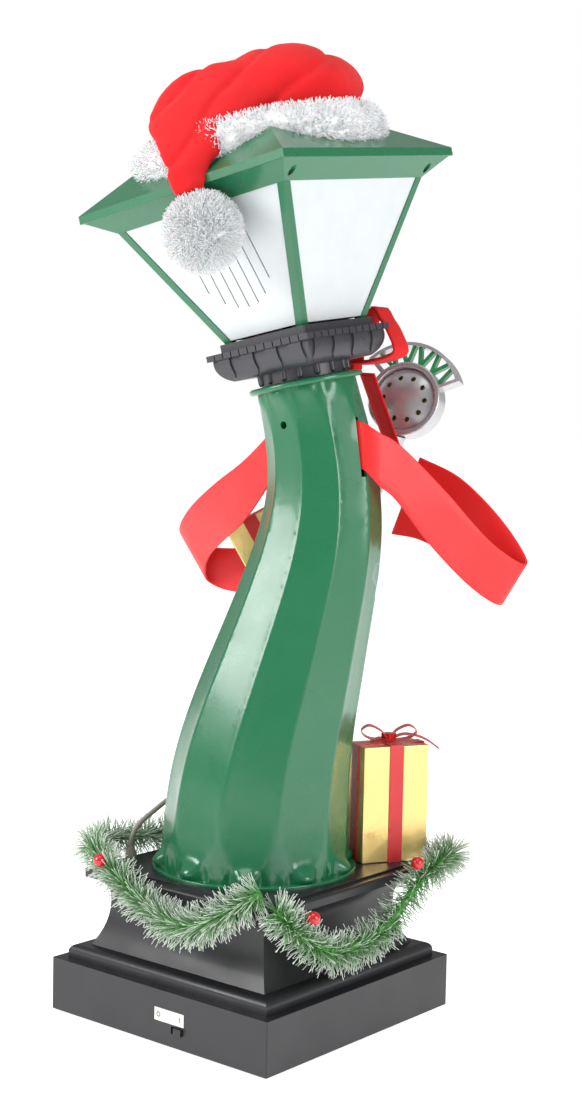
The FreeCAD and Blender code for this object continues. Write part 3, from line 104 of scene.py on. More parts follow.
@dataclass(frozen=True)
class Finish:
    """Colour, gloss and relief of one material slot."""

    colour: Colour
    rough: Tuple[float, float]
    pattern: Pattern
    metallic: float = 0.0
    coat: float = 0.0
    sheen: float = 0.0
    sheen_tint: Colour = (1.0, 1.0, 1.0)
    depth: float = 0.1
    scale: float = 300.0
    mottle: float = 0.06
    subsurface: float = 0.0
    tip: Optional[Colour] = None


FINISHES: Dict[str, Finish] = {
    "black_plastic": Finish(
        (0.013, 0.013, 0.016), (0.34, 0.48), Pattern.GRAIN,
        coat=0.08, scale=900, depth=0.05,
    ),
    "grey_plastic": Finish(
        (0.036, 0.036, 0.043), (0.34, 0.48), Pattern.GRAIN,
        coat=0.1, scale=900, depth=0.05,
    ),
    "green_shell": Finish(
        (0.007, 0.14, 0.054), (0.24, 0.34), Pattern.GLOSS,
        coat=0.35, depth=0.1, scale=60,
    ),
    "frosted_pane": Finish(
        (0.6, 0.64, 0.65), (0.38, 0.5), Pattern.GRAIN,
        subsurface=0.1, scale=700, depth=0.04,
    ),
    "red_felt": Finish(
        (0.66, 0.002, 0.005), (0.82, 0.95), Pattern.FELT,
        sheen=0.12, sheen_tint=(1, 0.35, 0.3), depth=0.5, scale=520, mottle=0.16,
    ),
    "white_fur": Finish(
        (0.9, 0.9, 0.91), (0.8, 0.95), Pattern.PLUSH,
        sheen=0.4, depth=0.6, scale=420, mottle=0.08, subsurface=0.2,
    ),
    "red_ribbon": Finish(
        (0.84, 0.006, 0.008), (0.4, 0.52), Pattern.WEAVE,
        sheen=0.04, coat=0.1, depth=0.06, scale=900, mottle=0.06,
    ),
    "red_satin": Finish(
        (0.66, 0.006, 0.01), (0.26, 0.4), Pattern.WEAVE,
        sheen=0.3, sheen_tint=(1, 0.5, 0.45), coat=0.2, depth=0.08, scale=1200, mottle=0.1,
    ),
    "gold_foil": Finish(
        (0.86, 0.62, 0.24), (0.22, 0.42), Pattern.CRUMPLE,
        metallic=0.75, depth=0.8, scale=55, mottle=0.1,
    ),
    "silver_plastic": Finish(
        (0.52, 0.52, 0.54), (0.24, 0.36), Pattern.GLOSS,
        metallic=0.65, coat=0.2, depth=0.08, scale=90,
    ),
    "green_bars": Finish((0.02, 0.3, 0.1), (0.24, 0.36), Pattern.GLOSS, coat=0.3, scale=90),
    "cable_jacket": Finish((0.36, 0.33, 0.29), (0.45, 0.58), Pattern.GRAIN, scale=1500, depth=0.06),
    "rubber": Finish((0.02, 0.02, 0.02), (0.6, 0.75), Pattern.GRAIN, scale=1200, depth=0.08),
    "steel": Finish((0.6, 0.6, 0.62), (0.26, 0.42), Pattern.BRUSHED, metallic=1.0, scale=700, depth=0.05),
    "brass": Finish((0.75, 0.52, 0.18), (0.28, 0.44), Pattern.BRUSHED, metallic=1.0, scale=700, depth=0.05),
    "cell_wrap": Finish((0.06, 0.08, 0.12), (0.3, 0.4), Pattern.GLOSS, coat=0.2),
    "board": Finish((0.02, 0.16, 0.07), (0.4, 0.55), Pattern.WEAVE, scale=1500, depth=0.04),
    "white_plastic": Finish((0.78, 0.78, 0.76), (0.38, 0.5), Pattern.GRAIN, scale=900, depth=0.04),
    "plate_white": Finish((0.8, 0.78, 0.7), (0.4, 0.55), Pattern.GRAIN, scale=1200, depth=0.03),
    "garland_green": Finish(
        (0.05, 0.26, 0.03), (0.45, 0.6), Pattern.GLOSS,
        mottle=0.3, tip=(0.8, 0.85, 0.78),
    ),
    "berry_red": Finish((0.6, 0.008, 0.016), (0.14, 0.24), Pattern.GLOSS, coat=0.5, scale=140),
    "motor_can": Finish(
        (0.5, 0.5, 0.5), (0.28, 0.42), Pattern.BRUSHED,
        metallic=1.0, scale=500, depth=0.05,
    ),
}


class ShaderGroups:
    """Node groups shared by the materials, each built once."""

    def __init__(self) -> None:
        """Build every group."""
        self.mottle = self._mottle()
        self.handled = self._handled()
        self.relief: Dict[Pattern, bpy.types.NodeTree] = {
            Pattern.GRAIN: self._noise_relief("moulded_grain", 2.0, 0.55, (1, 1, 1)),
            Pattern.GLOSS: self._noise_relief("mould_ripple", 1.0, 0.4, (1, 1, 1)),
            Pattern.FELT: self._noise_relief("matted_fibre", 6.0, 0.75, (1, 0.35, 1)),
            Pattern.PLUSH: self._noise_relief("pile", 5.0, 0.8, (1, 1, 0.4)),
            Pattern.BRUSHED: self._noise_relief("brushed", 3.0, 0.6, (0.05, 1, 1)),
            Pattern.WEAVE: self._weave(),
            Pattern.CRUMPLE: self._crumple(),
        }

    @staticmethod
    def _open(name: str, inputs: Dict[str, str], outputs: Dict[str, str]) -> Tuple:
        """Make an empty group.

        Args:
            name: name of the group.
            inputs: socket type of each input by name.
            outputs: socket type of each output by name.

        Returns:
            The tree, its nodes, its link function, its input node and its output node.
        """
        tree = bpy.data.node_groups.new(name, "ShaderNodeTree")
        for label, kind in inputs.items():
            tree.interface.new_socket(label, in_out="INPUT", socket_type=kind)
        for label, kind in outputs.items():
            tree.interface.new_socket(label, in_out="OUTPUT", socket_type=kind)
        start = tree.nodes.new("NodeGroupInput")
        end = tree.nodes.new("NodeGroupOutput")
        return tree, tree.nodes, tree.links.new, start, end

    def _mottle(self) -> bpy.types.NodeTree:
        """Return a group that varies a colour softly over the surface."""
        tree, nodes, link, start, end = self._open(
            "mottle",
            {
                "Vector": "NodeSocketVector",
                "Dark": "NodeSocketColor",
                "Light": "NodeSocketColor",
                "Scale": "NodeSocketFloat",
            },
            {"Colour": "NodeSocketColor"},
        )
        cloud = nodes.new("ShaderNodeTexNoise")
        cloud.inputs["Detail"].default_value = 4.0
        mix = nodes.new("ShaderNodeMix")
        mix.data_type = "RGBA"
        link(start.outputs["Vector"], cloud.inputs["Vector"])
        link(start.outputs["Scale"], cloud.inputs["Scale"])
        link(cloud.outputs["Fac"], mix.inputs["Factor"])
        link(start.outputs["Dark"], mix.inputs["A"])
        link(start.outputs["Light"], mix.inputs["B"])
        link(mix.outputs["Result"], end.inputs["Colour"])
        return tree

    def _handled(self) -> bpy.types.NodeTree:
        """Return a group for roughness that varies with handling and fine scuffs."""
        tree, nodes, link, start, end = self._open(
            "handled_gloss",
            {"Vector": "NodeSocketVector", "Low": "NodeSocketFloat", "High": "NodeSocketFloat"},
            {"Roughness": "NodeSocketFloat"},
        )
        wide = nodes.new("ShaderNodeTexNoise")
        wide.inputs["Scale"].default_value = 28.0
        wide.inputs["Detail"].default_value = 6.0
        span = nodes.new("ShaderNodeMapRange")
        span.inputs["From Min"].default_value = 0.3
        span.inputs["From Max"].default_value = 0.7
        link(start.outputs["Vector"], wide.inputs["Vector"])
        link(wide.outputs["Fac"], span.inputs["Value"])
        link(start.outputs["Low"], span.inputs["To Min"])
        link(start.outputs["High"], span.inputs["To Max"])
        link(span.outputs["Result"], end.inputs["Roughness"])
        return tree

    def _noise_relief(self, name: str, detail: float, rough: float, stretch: Point) -> bpy.types.NodeTree:
        """Return a relief group made from stretched noise.

        Args:
            name: name of the group.
            detail: octaves of the noise.
            rough: how strong the fine octaves are.
            stretch: scale of the pattern along each axis.
        """
        tree, nodes, link, start, end = self._open(
            name,
            {"Vector": "NodeSocketVector", "Scale": "NodeSocketFloat"},
            {"Height": "NodeSocketFloat"},
        )
        place = nodes.new("ShaderNodeMapping")
        place.inputs["Scale"].default_value = stretch
        cloud = nodes.new("ShaderNodeTexNoise")
        cloud.inputs["Detail"].default_value = detail
        cloud.inputs["Roughness"].default_value = rough
        link(start.outputs["Vector"], place.inputs["Vector"])
        link(place.outputs["Vector"], cloud.inputs["Vector"])
        link(start.outputs["Scale"], cloud.inputs["Scale"])
        link(cloud.outputs["Fac"], end.inputs["Height"])
        return tree

    def _weave(self) -> bpy.types.NodeTree:
        """Return a relief group of crossing threads."""
        tree, nodes, link, start, end = self._open(
            "woven_threads",
            {"Vector": "NodeSocketVector", "Scale": "NodeSocketFloat"},
            {"Height": "NodeSocketFloat"},
        )
        waves = []
        for direction in ("X", "Z"):
            wave = nodes.new("ShaderNodeTexWave")
            wave.bands_direction = direction
            wave.inputs["Distortion"].default_value = 0.6
            link(start.outputs["Vector"], wave.inputs["Vector"])
            link(start.outputs["Scale"], wave.inputs["Scale"])
            waves.append(wave)
        blend = nodes.new("ShaderNodeMath")
        blend.operation = "MAXIMUM"
        link(waves[0].outputs["Fac"], blend.inputs[0])
        link(waves[1].outputs["Fac"], blend.inputs[1])
        link(blend.outputs[0], end.inputs["Height"])
        return tree

    def _crumple(self) -> bpy.types.NodeTree:
        """Return a relief group of sharp folds pressed into foil."""
        tree, nodes, link, start, end = self._open(
            "creased_foil",
            {"Vector": "NodeSocketVector", "Scale": "NodeSocketFloat"},
            {"Height": "NodeSocketFloat"},
        )
        warp = nodes.new("ShaderNodeTexNoise")
        warp.inputs["Scale"].default_value = 30.0
        shift = nodes.new("ShaderNodeVectorMath")
        shift.operation = "MULTIPLY_ADD"
        shift.inputs[1].default_value = (0.02, 0.02, 0.02)
        cells = nodes.new("ShaderNodeTexVoronoi")
        cells.feature = "F1"
        link(start.outputs["Vector"], warp.inputs["Vector"])
        link(warp.outputs["Color"], shift.inputs[0])
        link(start.outputs["Vector"], shift.inputs[2])
        link(shift.outputs["Vector"], cells.inputs["Vector"])
        link(start.outputs["Scale"], cells.inputs["Scale"])
        link(cells.outputs["Distance"], end.inputs["Height"])
        return tree


class Paintbox:
    """One material for each slot of the record."""

    def __init__(self) -> None:
        """Build the groups and every material."""
        self.groups = ShaderGroups()
        self.materials = {name: self._material(name, finish) for name, finish in FINISHES.items()}

    def _material(self, name: str, finish: Finish) -> bpy.types.Material:
        """Make the material of one slot.

        Args:
            name: the slot.
            finish: its colour, gloss and relief.

        Returns:
            The material.
        """
        material = bpy.data.materials.new(name)
        material.use_nodes = True
        nodes, link = material.node_tree.nodes, material.node_tree.links.new
        shader = nodes["Principled BSDF"]
        shader.inputs["Metallic"].default_value = finish.metallic
        shader.inputs["Coat Weight"].default_value = finish.coat
        shader.inputs["Coat Roughness"].default_value = COAT_ROUGHNESS
        shader.inputs["Sheen Weight"].default_value = finish.sheen
        shader.inputs["Sheen Tint"].default_value = (*finish.sheen_tint, 1)
        shader.inputs["Subsurface Weight"].default_value = finish.subsurface
        shader.inputs["Subsurface Scale"].default_value = SUBSURFACE_SCALE
        where = nodes.new("ShaderNodeTexCoord").outputs["Object"]

        tint = nodes.new("ShaderNodeGroup")
        tint.node_tree = self.groups.mottle
        dark, light = 1 - finish.mottle, 1 + finish.mottle
        tint.inputs["Dark"].default_value = (*(c * dark for c in finish.colour), 1)
        tint.inputs["Light"].default_value = (*(min(1.0, c * light) for c in finish.colour), 1)
        tint.inputs["Scale"].default_value = MOTTLE_SCALE
        link(where, tint.inputs["Vector"])
        if finish.tip:
            frost = nodes.new("ShaderNodeAttribute")
            frost.attribute_name = "frost"
            mix = nodes.new("ShaderNodeMix")
            mix.data_type = "RGBA"
            mix.inputs["B"].default_value = (*finish.tip, 1)
            link(frost.outputs["Fac"], mix.inputs["Factor"])
            link(tint.outputs["Colour"], mix.inputs["A"])
            link(mix.outputs["Result"], shader.inputs["Base Color"])
        else:
            link(tint.outputs["Colour"], shader.inputs["Base Color"])

        gloss = nodes.new("ShaderNodeGroup")
        gloss.node_tree = self.groups.handled
        gloss.inputs["Low"].default_value, gloss.inputs["High"].default_value = finish.rough
        link(where, gloss.inputs["Vector"])
        link(gloss.outputs["Roughness"], shader.inputs["Roughness"])

        relief = nodes.new("ShaderNodeGroup")
        relief.node_tree = self.groups.relief[finish.pattern]
        relief.inputs["Scale"].default_value = finish.scale
        bump = nodes.new("ShaderNodeBump")
        bump.inputs["Strength"].default_value = BUMP_STRENGTH
        bump.inputs["Distance"].default_value = finish.depth * MM
        link(where, relief.inputs["Vector"])
        link(relief.outputs["Height"], bump.inputs["Height"])
        link(bump.outputs["Normal"], shader.inputs["Normal"])
        return material

    def dress_frame(self, nodes: Dict[str, bpy.types.Object], record: dict) -> None:
        """Give every carried-over node the material of its slot."""
        for part in record["subparts"]:
            mesh = nodes[part["node"]].data
            mesh.materials.clear()
            mesh.materials.append(self.materials[part["material_slot"]])

    def dress(self, piece: bpy.types.Object, slot: str) -> None:
        """Give a new piece the material of a slot."""
        piece.data.materials.clear()
        piece.data.materials.append(self.materials[slot])


# ---------------------------------------------------------------- mesh helpers
def piece_from(bm: bmesh.types.BMesh, name: str, smooth: bool = True) -> bpy.types.Object:
    """Turn a bmesh into a linked object and free it.

    Args:
        bm: the finished bmesh.
        name: name of the piece.
        smooth: whether its faces are shaded smooth.

    Returns:
        The object, at the origin.
    """
    mesh = bpy.data.meshes.new(name)
    bm.to_mesh(mesh)
    bm.free()
    for polygon in mesh.polygons:
        polygon.use_smooth = smooth
    piece = bpy.data.objects.new(name, mesh)
    bpy.context.scene.collection.objects.link(piece)
    return piece


def add_modifier(piece: bpy.types.Object, kind: str, **values: object) -> None:
    """Add a modifier and set its values by name."""
    modifier = piece.modifiers.new(kind.title(), kind)
    for key, value in values.items():
        setattr(modifier, key, value)


def settle(piece: bpy.types.Object) -> None:
    """Apply all modifiers of a piece to its mesh."""
    graph = bpy.context.evaluated_depsgraph_get()
    mesh = bpy.data.meshes.new_from_object(piece.evaluated_get(graph))
    piece.modifiers.clear()
    old = piece.data
    piece.data = mesh
    mesh.name = old.name
    for polygon in mesh.polygons:
        polygon.use_smooth = True


def through(points: Sequence[Vector], steps: int) -> List[Vector]:
    """Return points on a smooth curve that passes through the given ones.

    Args:
        points: points to pass through, two or more.
        steps: how many pieces each run is cut into.

    Returns:
        The points of the curve, both ends included.
    """
    ends = [points[0] * 2 - points[1], *points, points[-1] * 2 - points[-2]]
    line = []
    for a, b, c, d in zip(ends, ends[1:], ends[2:], ends[3:]):
        for i in range(steps):
            t = i / steps
            square = 2 * a - 5 * b + 4 * c - d
            cube = 3 * b - a - 3 * c + d
            line.append(0.5 * ((2 * b) + (c - a) * t + square * t**2 + cube * t**3))
    line.append(points[-1].copy())
    return line


def nearest(vert: bmesh.types.BMVert, line: Sequence[bmesh.types.BMVert]) -> int:
    """Return the place in a line of the point that lies nearest to a vertex."""
    return min(range(len(line)), key=lambda i: (line[i].co - vert.co).length)


def strip_between(uppers: Sequence[Vector], lowers: Sequence[Vector], rows: int) -> bmesh.types.BMesh:
    """Extrude a cross edge along two lines into a sheet.

    Args:
        uppers: points along one long edge.
        lowers: points along the other.
        rows: how many faces there are across the strip.

    Returns:
        The bmesh of the sheet.
    """
    bm = bmesh.new()
    last = [bm.verts.new(uppers[0].lerp(lowers[0], i / rows)) for i in range(rows + 1)]
    edges = [bm.edges.new(pair) for pair in zip(last, last[1:])]
    for high, low in zip(uppers[1:], lowers[1:]):
        made = bmesh.ops.extrude_edge_only(bm, edges=edges)["geom"]
        fresh = [g for g in made if isinstance(g, bmesh.types.BMVert)]
        edges = [g for g in made if isinstance(g, bmesh.types.BMEdge)]
        order = sorted(fresh, key=lambda vert, line=last: nearest(vert, line))
        for i, vert in enumerate(order):
            vert.co = high.lerp(low, i / rows)
        last = order
    bmesh.ops.recalc_face_normals(bm, faces=bm.faces)
    return bm


def add_strip(joined: bmesh.types.BMesh, uppers: Sequence[Vector], lowers: Sequence[Vector]) -> None:
    """Add the sheet between two lines to a bmesh that holds others.

    Args:
        joined: the bmesh that collects the sheets.
        uppers: points along one long edge.
        lowers: points along the other.
    """
    bm = strip_between(uppers, lowers, STRIP_ROWS)
    mesh = bpy.data.meshes.new("strip")
    bm.to_mesh(mesh)
    bm.free()
    joined.from_mesh(mesh)
    bpy.data.meshes.remove(mesh)


def bridge_rings(rings: Sequence[Sequence[Vector]]) -> bmesh.types.BMesh:
    """Join closed rings of points, one after another, into one skin with filled ends.

    Args:
        rings: closed rings with the same number of points.

    Returns:
        The bmesh of the skin.
    """
    bm = bmesh.new()
    loops = []
    for ring in rings:
        verts = [bm.verts.new(p) for p in ring]
        loops.append([bm.edges.new((a, b)) for a, b in zip(verts, verts[1:] + verts[:1])])
    for low, high in zip(loops, loops[1:]):
        bmesh.ops.bridge_loops(bm, edges=low + high)
    for loop in (loops[0], loops[-1]):
        bmesh.ops.contextual_create(bm, geom=loop)
    bmesh.ops.recalc_face_normals(bm, faces=bm.faces)
    return bm


def oval_ring(centre: Vector, wide: Vector, tall: Vector, count: int = 24) -> List[Vector]:
    """Return points round an oval with the given half axes."""
    turn = 2 * math.pi / count
    return [centre + wide * math.cos(i * turn) + tall * math.sin(i * turn) for i in range(count)]


def turn_to(up: Vector, spin: float) -> Matrix:
    """Return the turn that points Z along a direction and spins about it."""
    return up.to_track_quat("Z", "Y").to_matrix().to_4x4() @ Matrix.Rotation(spin, 4, "Z")


def tuft_template(length: float, width: float, bend: float) -> bpy.types.Mesh:
    """Make one tapered fibre that stands on Z.

    Args:
        length: its length in metres.
        width: its width at the root.
        bend: how far its tip leans over.

    Returns:
        The mesh of the fibre.
    """
    bm = bmesh.new()
    bmesh.ops.create_cone(bm, cap_ends=False, segments=3, radius1=width / 2, radius2=width / 4, depth=length)
    bmesh.ops.translate(bm, vec=(0, 0, length / 2), verts=bm.verts)
    upright = [e for e in bm.edges if abs(e.verts[0].co.z - e.verts[1].co.z) > length / 2]
    bmesh.ops.subdivide_edges(bm, edges=upright, cuts=1)
    for vert in bm.verts:
        vert.co.x += bend * (vert.co.z / length) ** 2
    bmesh.ops.triangulate(bm, faces=bm.faces)
    mesh = bpy.data.meshes.new("tuft")
    bm.to_mesh(mesh)
    bm.free()
    return mesh


def scatter(name: str, template: bpy.types.Mesh, places: Sequence[Matrix]) -> bpy.types.Object:
    """Repeat a small template at every place, in one piece.

    Args:
        name: name of the piece.
        template: the small mesh.
        places: where each copy goes.

    Returns:
        The piece, with a frost attribute along every copy.
    """
    corners = [v.co.copy() for v in template.vertices]
    height = max(c.z for c in corners)
    faces = [tuple(p.vertices) for p in template.polygons]
    count = len(corners)
    verts: List[Vector] = []
    skins: List[Tuple[int, ...]] = []
    frost: List[float] = []
    for step, place in enumerate(places):
        verts.extend(place @ c for c in corners)
        skins.extend(tuple(i + step * count for i in face) for face in faces)
        frost.extend(max(0.0, c.z / height * 1.6 - 0.6) for c in corners)
    mesh = bpy.data.meshes.new(name)
    mesh.from_pydata(verts, [], skins)
    mesh.attributes.new("frost", "FLOAT", "POINT").data.foreach_set("value", frost)
    for polygon in mesh.polygons:
        polygon.use_smooth = True
    piece = bpy.data.objects.new(name, mesh)
    bpy.context.scene.collection.objects.link(piece)
    bpy.data.meshes.remove(template)
    return piece


@dataclass(frozen=True)
class Pile:
    """Fibres that stand on a skin, with their sizes in millimetres."""

    length: float
    width: float
    bend: float
    count: int
    seed: int
    lean: float
    scales: Tuple[float, float]

    def fibre(self) -> bpy.types.Mesh:
        """Return the template of one fibre."""
        return tuft_template(self.length * MM, self.width * MM, self.bend * MM)

    def places(self, mesh: bpy.types.Mesh) -> List[Matrix]:
        """Spread the fibres evenly over a mesh.

        Args:
            mesh: the skin that the fibres grow from.

        Returns:
            The place of each fibre.
        """
        draw = random.Random(self.seed)
        mesh.calc_loop_triangles()
        skins = [t for t in mesh.loop_triangles if t.area > 0]
        picked = draw.choices(skins, weights=[t.area for t in skins], k=self.count)
        places = []
        for skin in picked:
            a, b, c = (mesh.vertices[i].co for i in skin.vertices)
            u, v = sorted((draw.random(), draw.random()))
            point = a * u + b * (v - u) + c * (1 - v)
            up = skin.normal + Vector([draw.uniform(-self.lean, self.lean) for _ in range(3)])
            turn = turn_to(up, draw.uniform(0, math.tau))
            places.append(Matrix.Translation(point) @ turn @ Matrix.Scale(draw.uniform(*self.scales), 4))
        return places


def head_matrix(joints: Sequence[dict]) -> Matrix:
    """Return the frame of the leaning head, with its origin on the neck and Z along its axis."""
    joint = next(j for j in joints if j["name"] == "head_turn")
    lean = Vector((0, 0, 1)).rotation_difference(Vector(joint["axis"]))
    return Matrix.Translation(joint["pos_m"]) @ lean.to_matrix().to_4x4()


# ---------------------------------------------------------------- stage
@dataclass
class Stage:
    """Floor, soft lights and camera."""

    place: Point = (-0.96645, 1.12201, 0.50126)
    heading: float = 219.73
    dip: float = 4.12
    roll: float = 1.2
    lens: float = 57.614
    floor: float = 40.0
    paper_grey: float = 0.93
    glow: float = 0.8
    fill: float = 0.36
    aim: Point = (0, 0, 0.4)
    boxes: Sequence[Tuple[str, Point, float, float]] = (
        ("left_box", (0.9, 1.5, 1.1), 26, 0.8),
        ("right_box", (-1.8, 0.0, 0.8), 15, 0.8),
        ("top_box", (-0.2, 0.5, 2.2), 14, 1.2),
    )

    def build(self) -> None:
        """Make the floor, the lights and the camera."""
        bm = bmesh.new()
        bmesh.ops.create_grid(bm, x_segments=1, y_segments=1, size=self.floor)
        ground = piece_from(bm, "floor", False)
        paper = bpy.data.materials.new("floor_paper")
        paper.use_nodes = True
        shader = paper.node_tree.nodes["Principled BSDF"]
        shader.inputs["Base Color"].default_value = (*(self.paper_grey,) * 3, 1)
        shader.inputs["Roughness"].default_value = 0.9
        shader.inputs["Emission Color"].default_value = (1, 1, 1, 1)
        shader.inputs["Emission Strength"].default_value = self.glow
        ground.data.materials.append(paper)
        self._world()
        for box in self.boxes:
            self._soft_box(*box)
        self._camera()

    def _world(self) -> None:
        """Make the even white surroundings."""
        world = bpy.data.worlds.new("studio")
        world.use_nodes = True
        nodes, link = world.node_tree.nodes, world.node_tree.links.new
        lit = nodes["Background"]
        lit.inputs["Color"].default_value = (1, 1, 1, 1)
        lit.inputs["Strength"].default_value = self.fill
        seen = nodes.new("ShaderNodeBackground")
        seen.inputs["Color"].default_value = (1, 1, 1, 1)
        path, mix = nodes.new("ShaderNodeLightPath"), nodes.new("ShaderNodeMixShader")
        link(path.outputs["Is Camera Ray"], mix.inputs["Fac"])
        link(lit.outputs["Background"], mix.inputs[1])
        link(seen.outputs["Background"], mix.inputs[2])
        link(mix.outputs["Shader"], nodes["World Output"].inputs["Surface"])
        bpy.context.scene.world = world
        bpy.context.scene.view_settings.view_transform = "Standard"

    def _soft_box(self, name: str, place: Point, power: float, size: float) -> None:
        """Place one square light that faces the figure.

        Args:
            name: name of the light.
            place: where it hangs, in metres.
            power: its power in watts.
            size: length of its side.
        """
        light = bpy.data.lights.new(name, "AREA")
        light.energy = power
        light.size = size
        lamp = bpy.data.objects.new(name, light)
        lamp.location = place
        lamp.rotation_euler = (Vector(self.aim) - Vector(place)).to_track_quat("-Z", "Y").to_euler()
        bpy.context.scene.collection.objects.link(lamp)

    def _camera(self) -> None:
        """Place the camera."""
        azimuth, dip = math.radians(self.heading), math.radians(self.dip)
        level = math.cos(dip)
        ahead = Vector((-math.sin(azimuth) * level, math.cos(azimuth) * level, -math.sin(dip)))
        data = bpy.data.cameras.new("camera")
        data.sensor_width = 36.0
        data.lens = self.lens
        camera = bpy.data.objects.new("camera", data)
        turn = ahead.to_track_quat("-Z", "Y").to_matrix().to_4x4()
        roll = Matrix.Rotation(math.radians(self.roll), 4, "Z")
        camera.matrix_world = Matrix.Translation(self.place) @ turn @ roll
        bpy.context.scene.collection.objects.link(camera)
        bpy.context.scene.camera = camera


# ---------------------------------------------------------------- sub-assemblies
@dataclass
class Cable:
    """Lead from the top plate round the column to the foot of the stand.

    Its diameter and length are in metres, and its route is in millimetres. The length is not used.
    """

    diameter: float = 0.0045
    length: float = 0.164
    route: Sequence[Point] = (
        (94, 54, 133),
        (94, 54, 143.5),
        (93, 45, 153),
        (92.5, 28, 161),
        (91.5, 6, 171),
        (90, -22, 180),
        (87, -46, 178),
        (82.5, -64, 166),
        (72.5, -79.5, 151),
    )

    def build(self, paint: Paintbox) -> None:
        curve = bpy.data.curves.new("microphone_lead", "CURVE")
        curve.dimensions = "3D"
        curve.bevel_depth = self.diameter / 2
        curve.bevel_resolution = 6
        curve.use_fill_caps = True
        spline = curve.splines.new("NURBS")
        spline.points.add(len(self.route) - 1)
        for point, place in zip(spline.points, self.route):
            point.co = (*mm(place), 1)
        spline.order_u = 3
        spline.use_endpoint_u = True
        spline.resolution_u = 12
        lead = bpy.data.objects.new("microphone_lead", curve)
        bpy.context.scene.collection.objects.link(lead)
        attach(lead, "root")
        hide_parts("mic_cable")
        paint.dress(lead, "cable_jacket")
        LOG.info("lead laid")


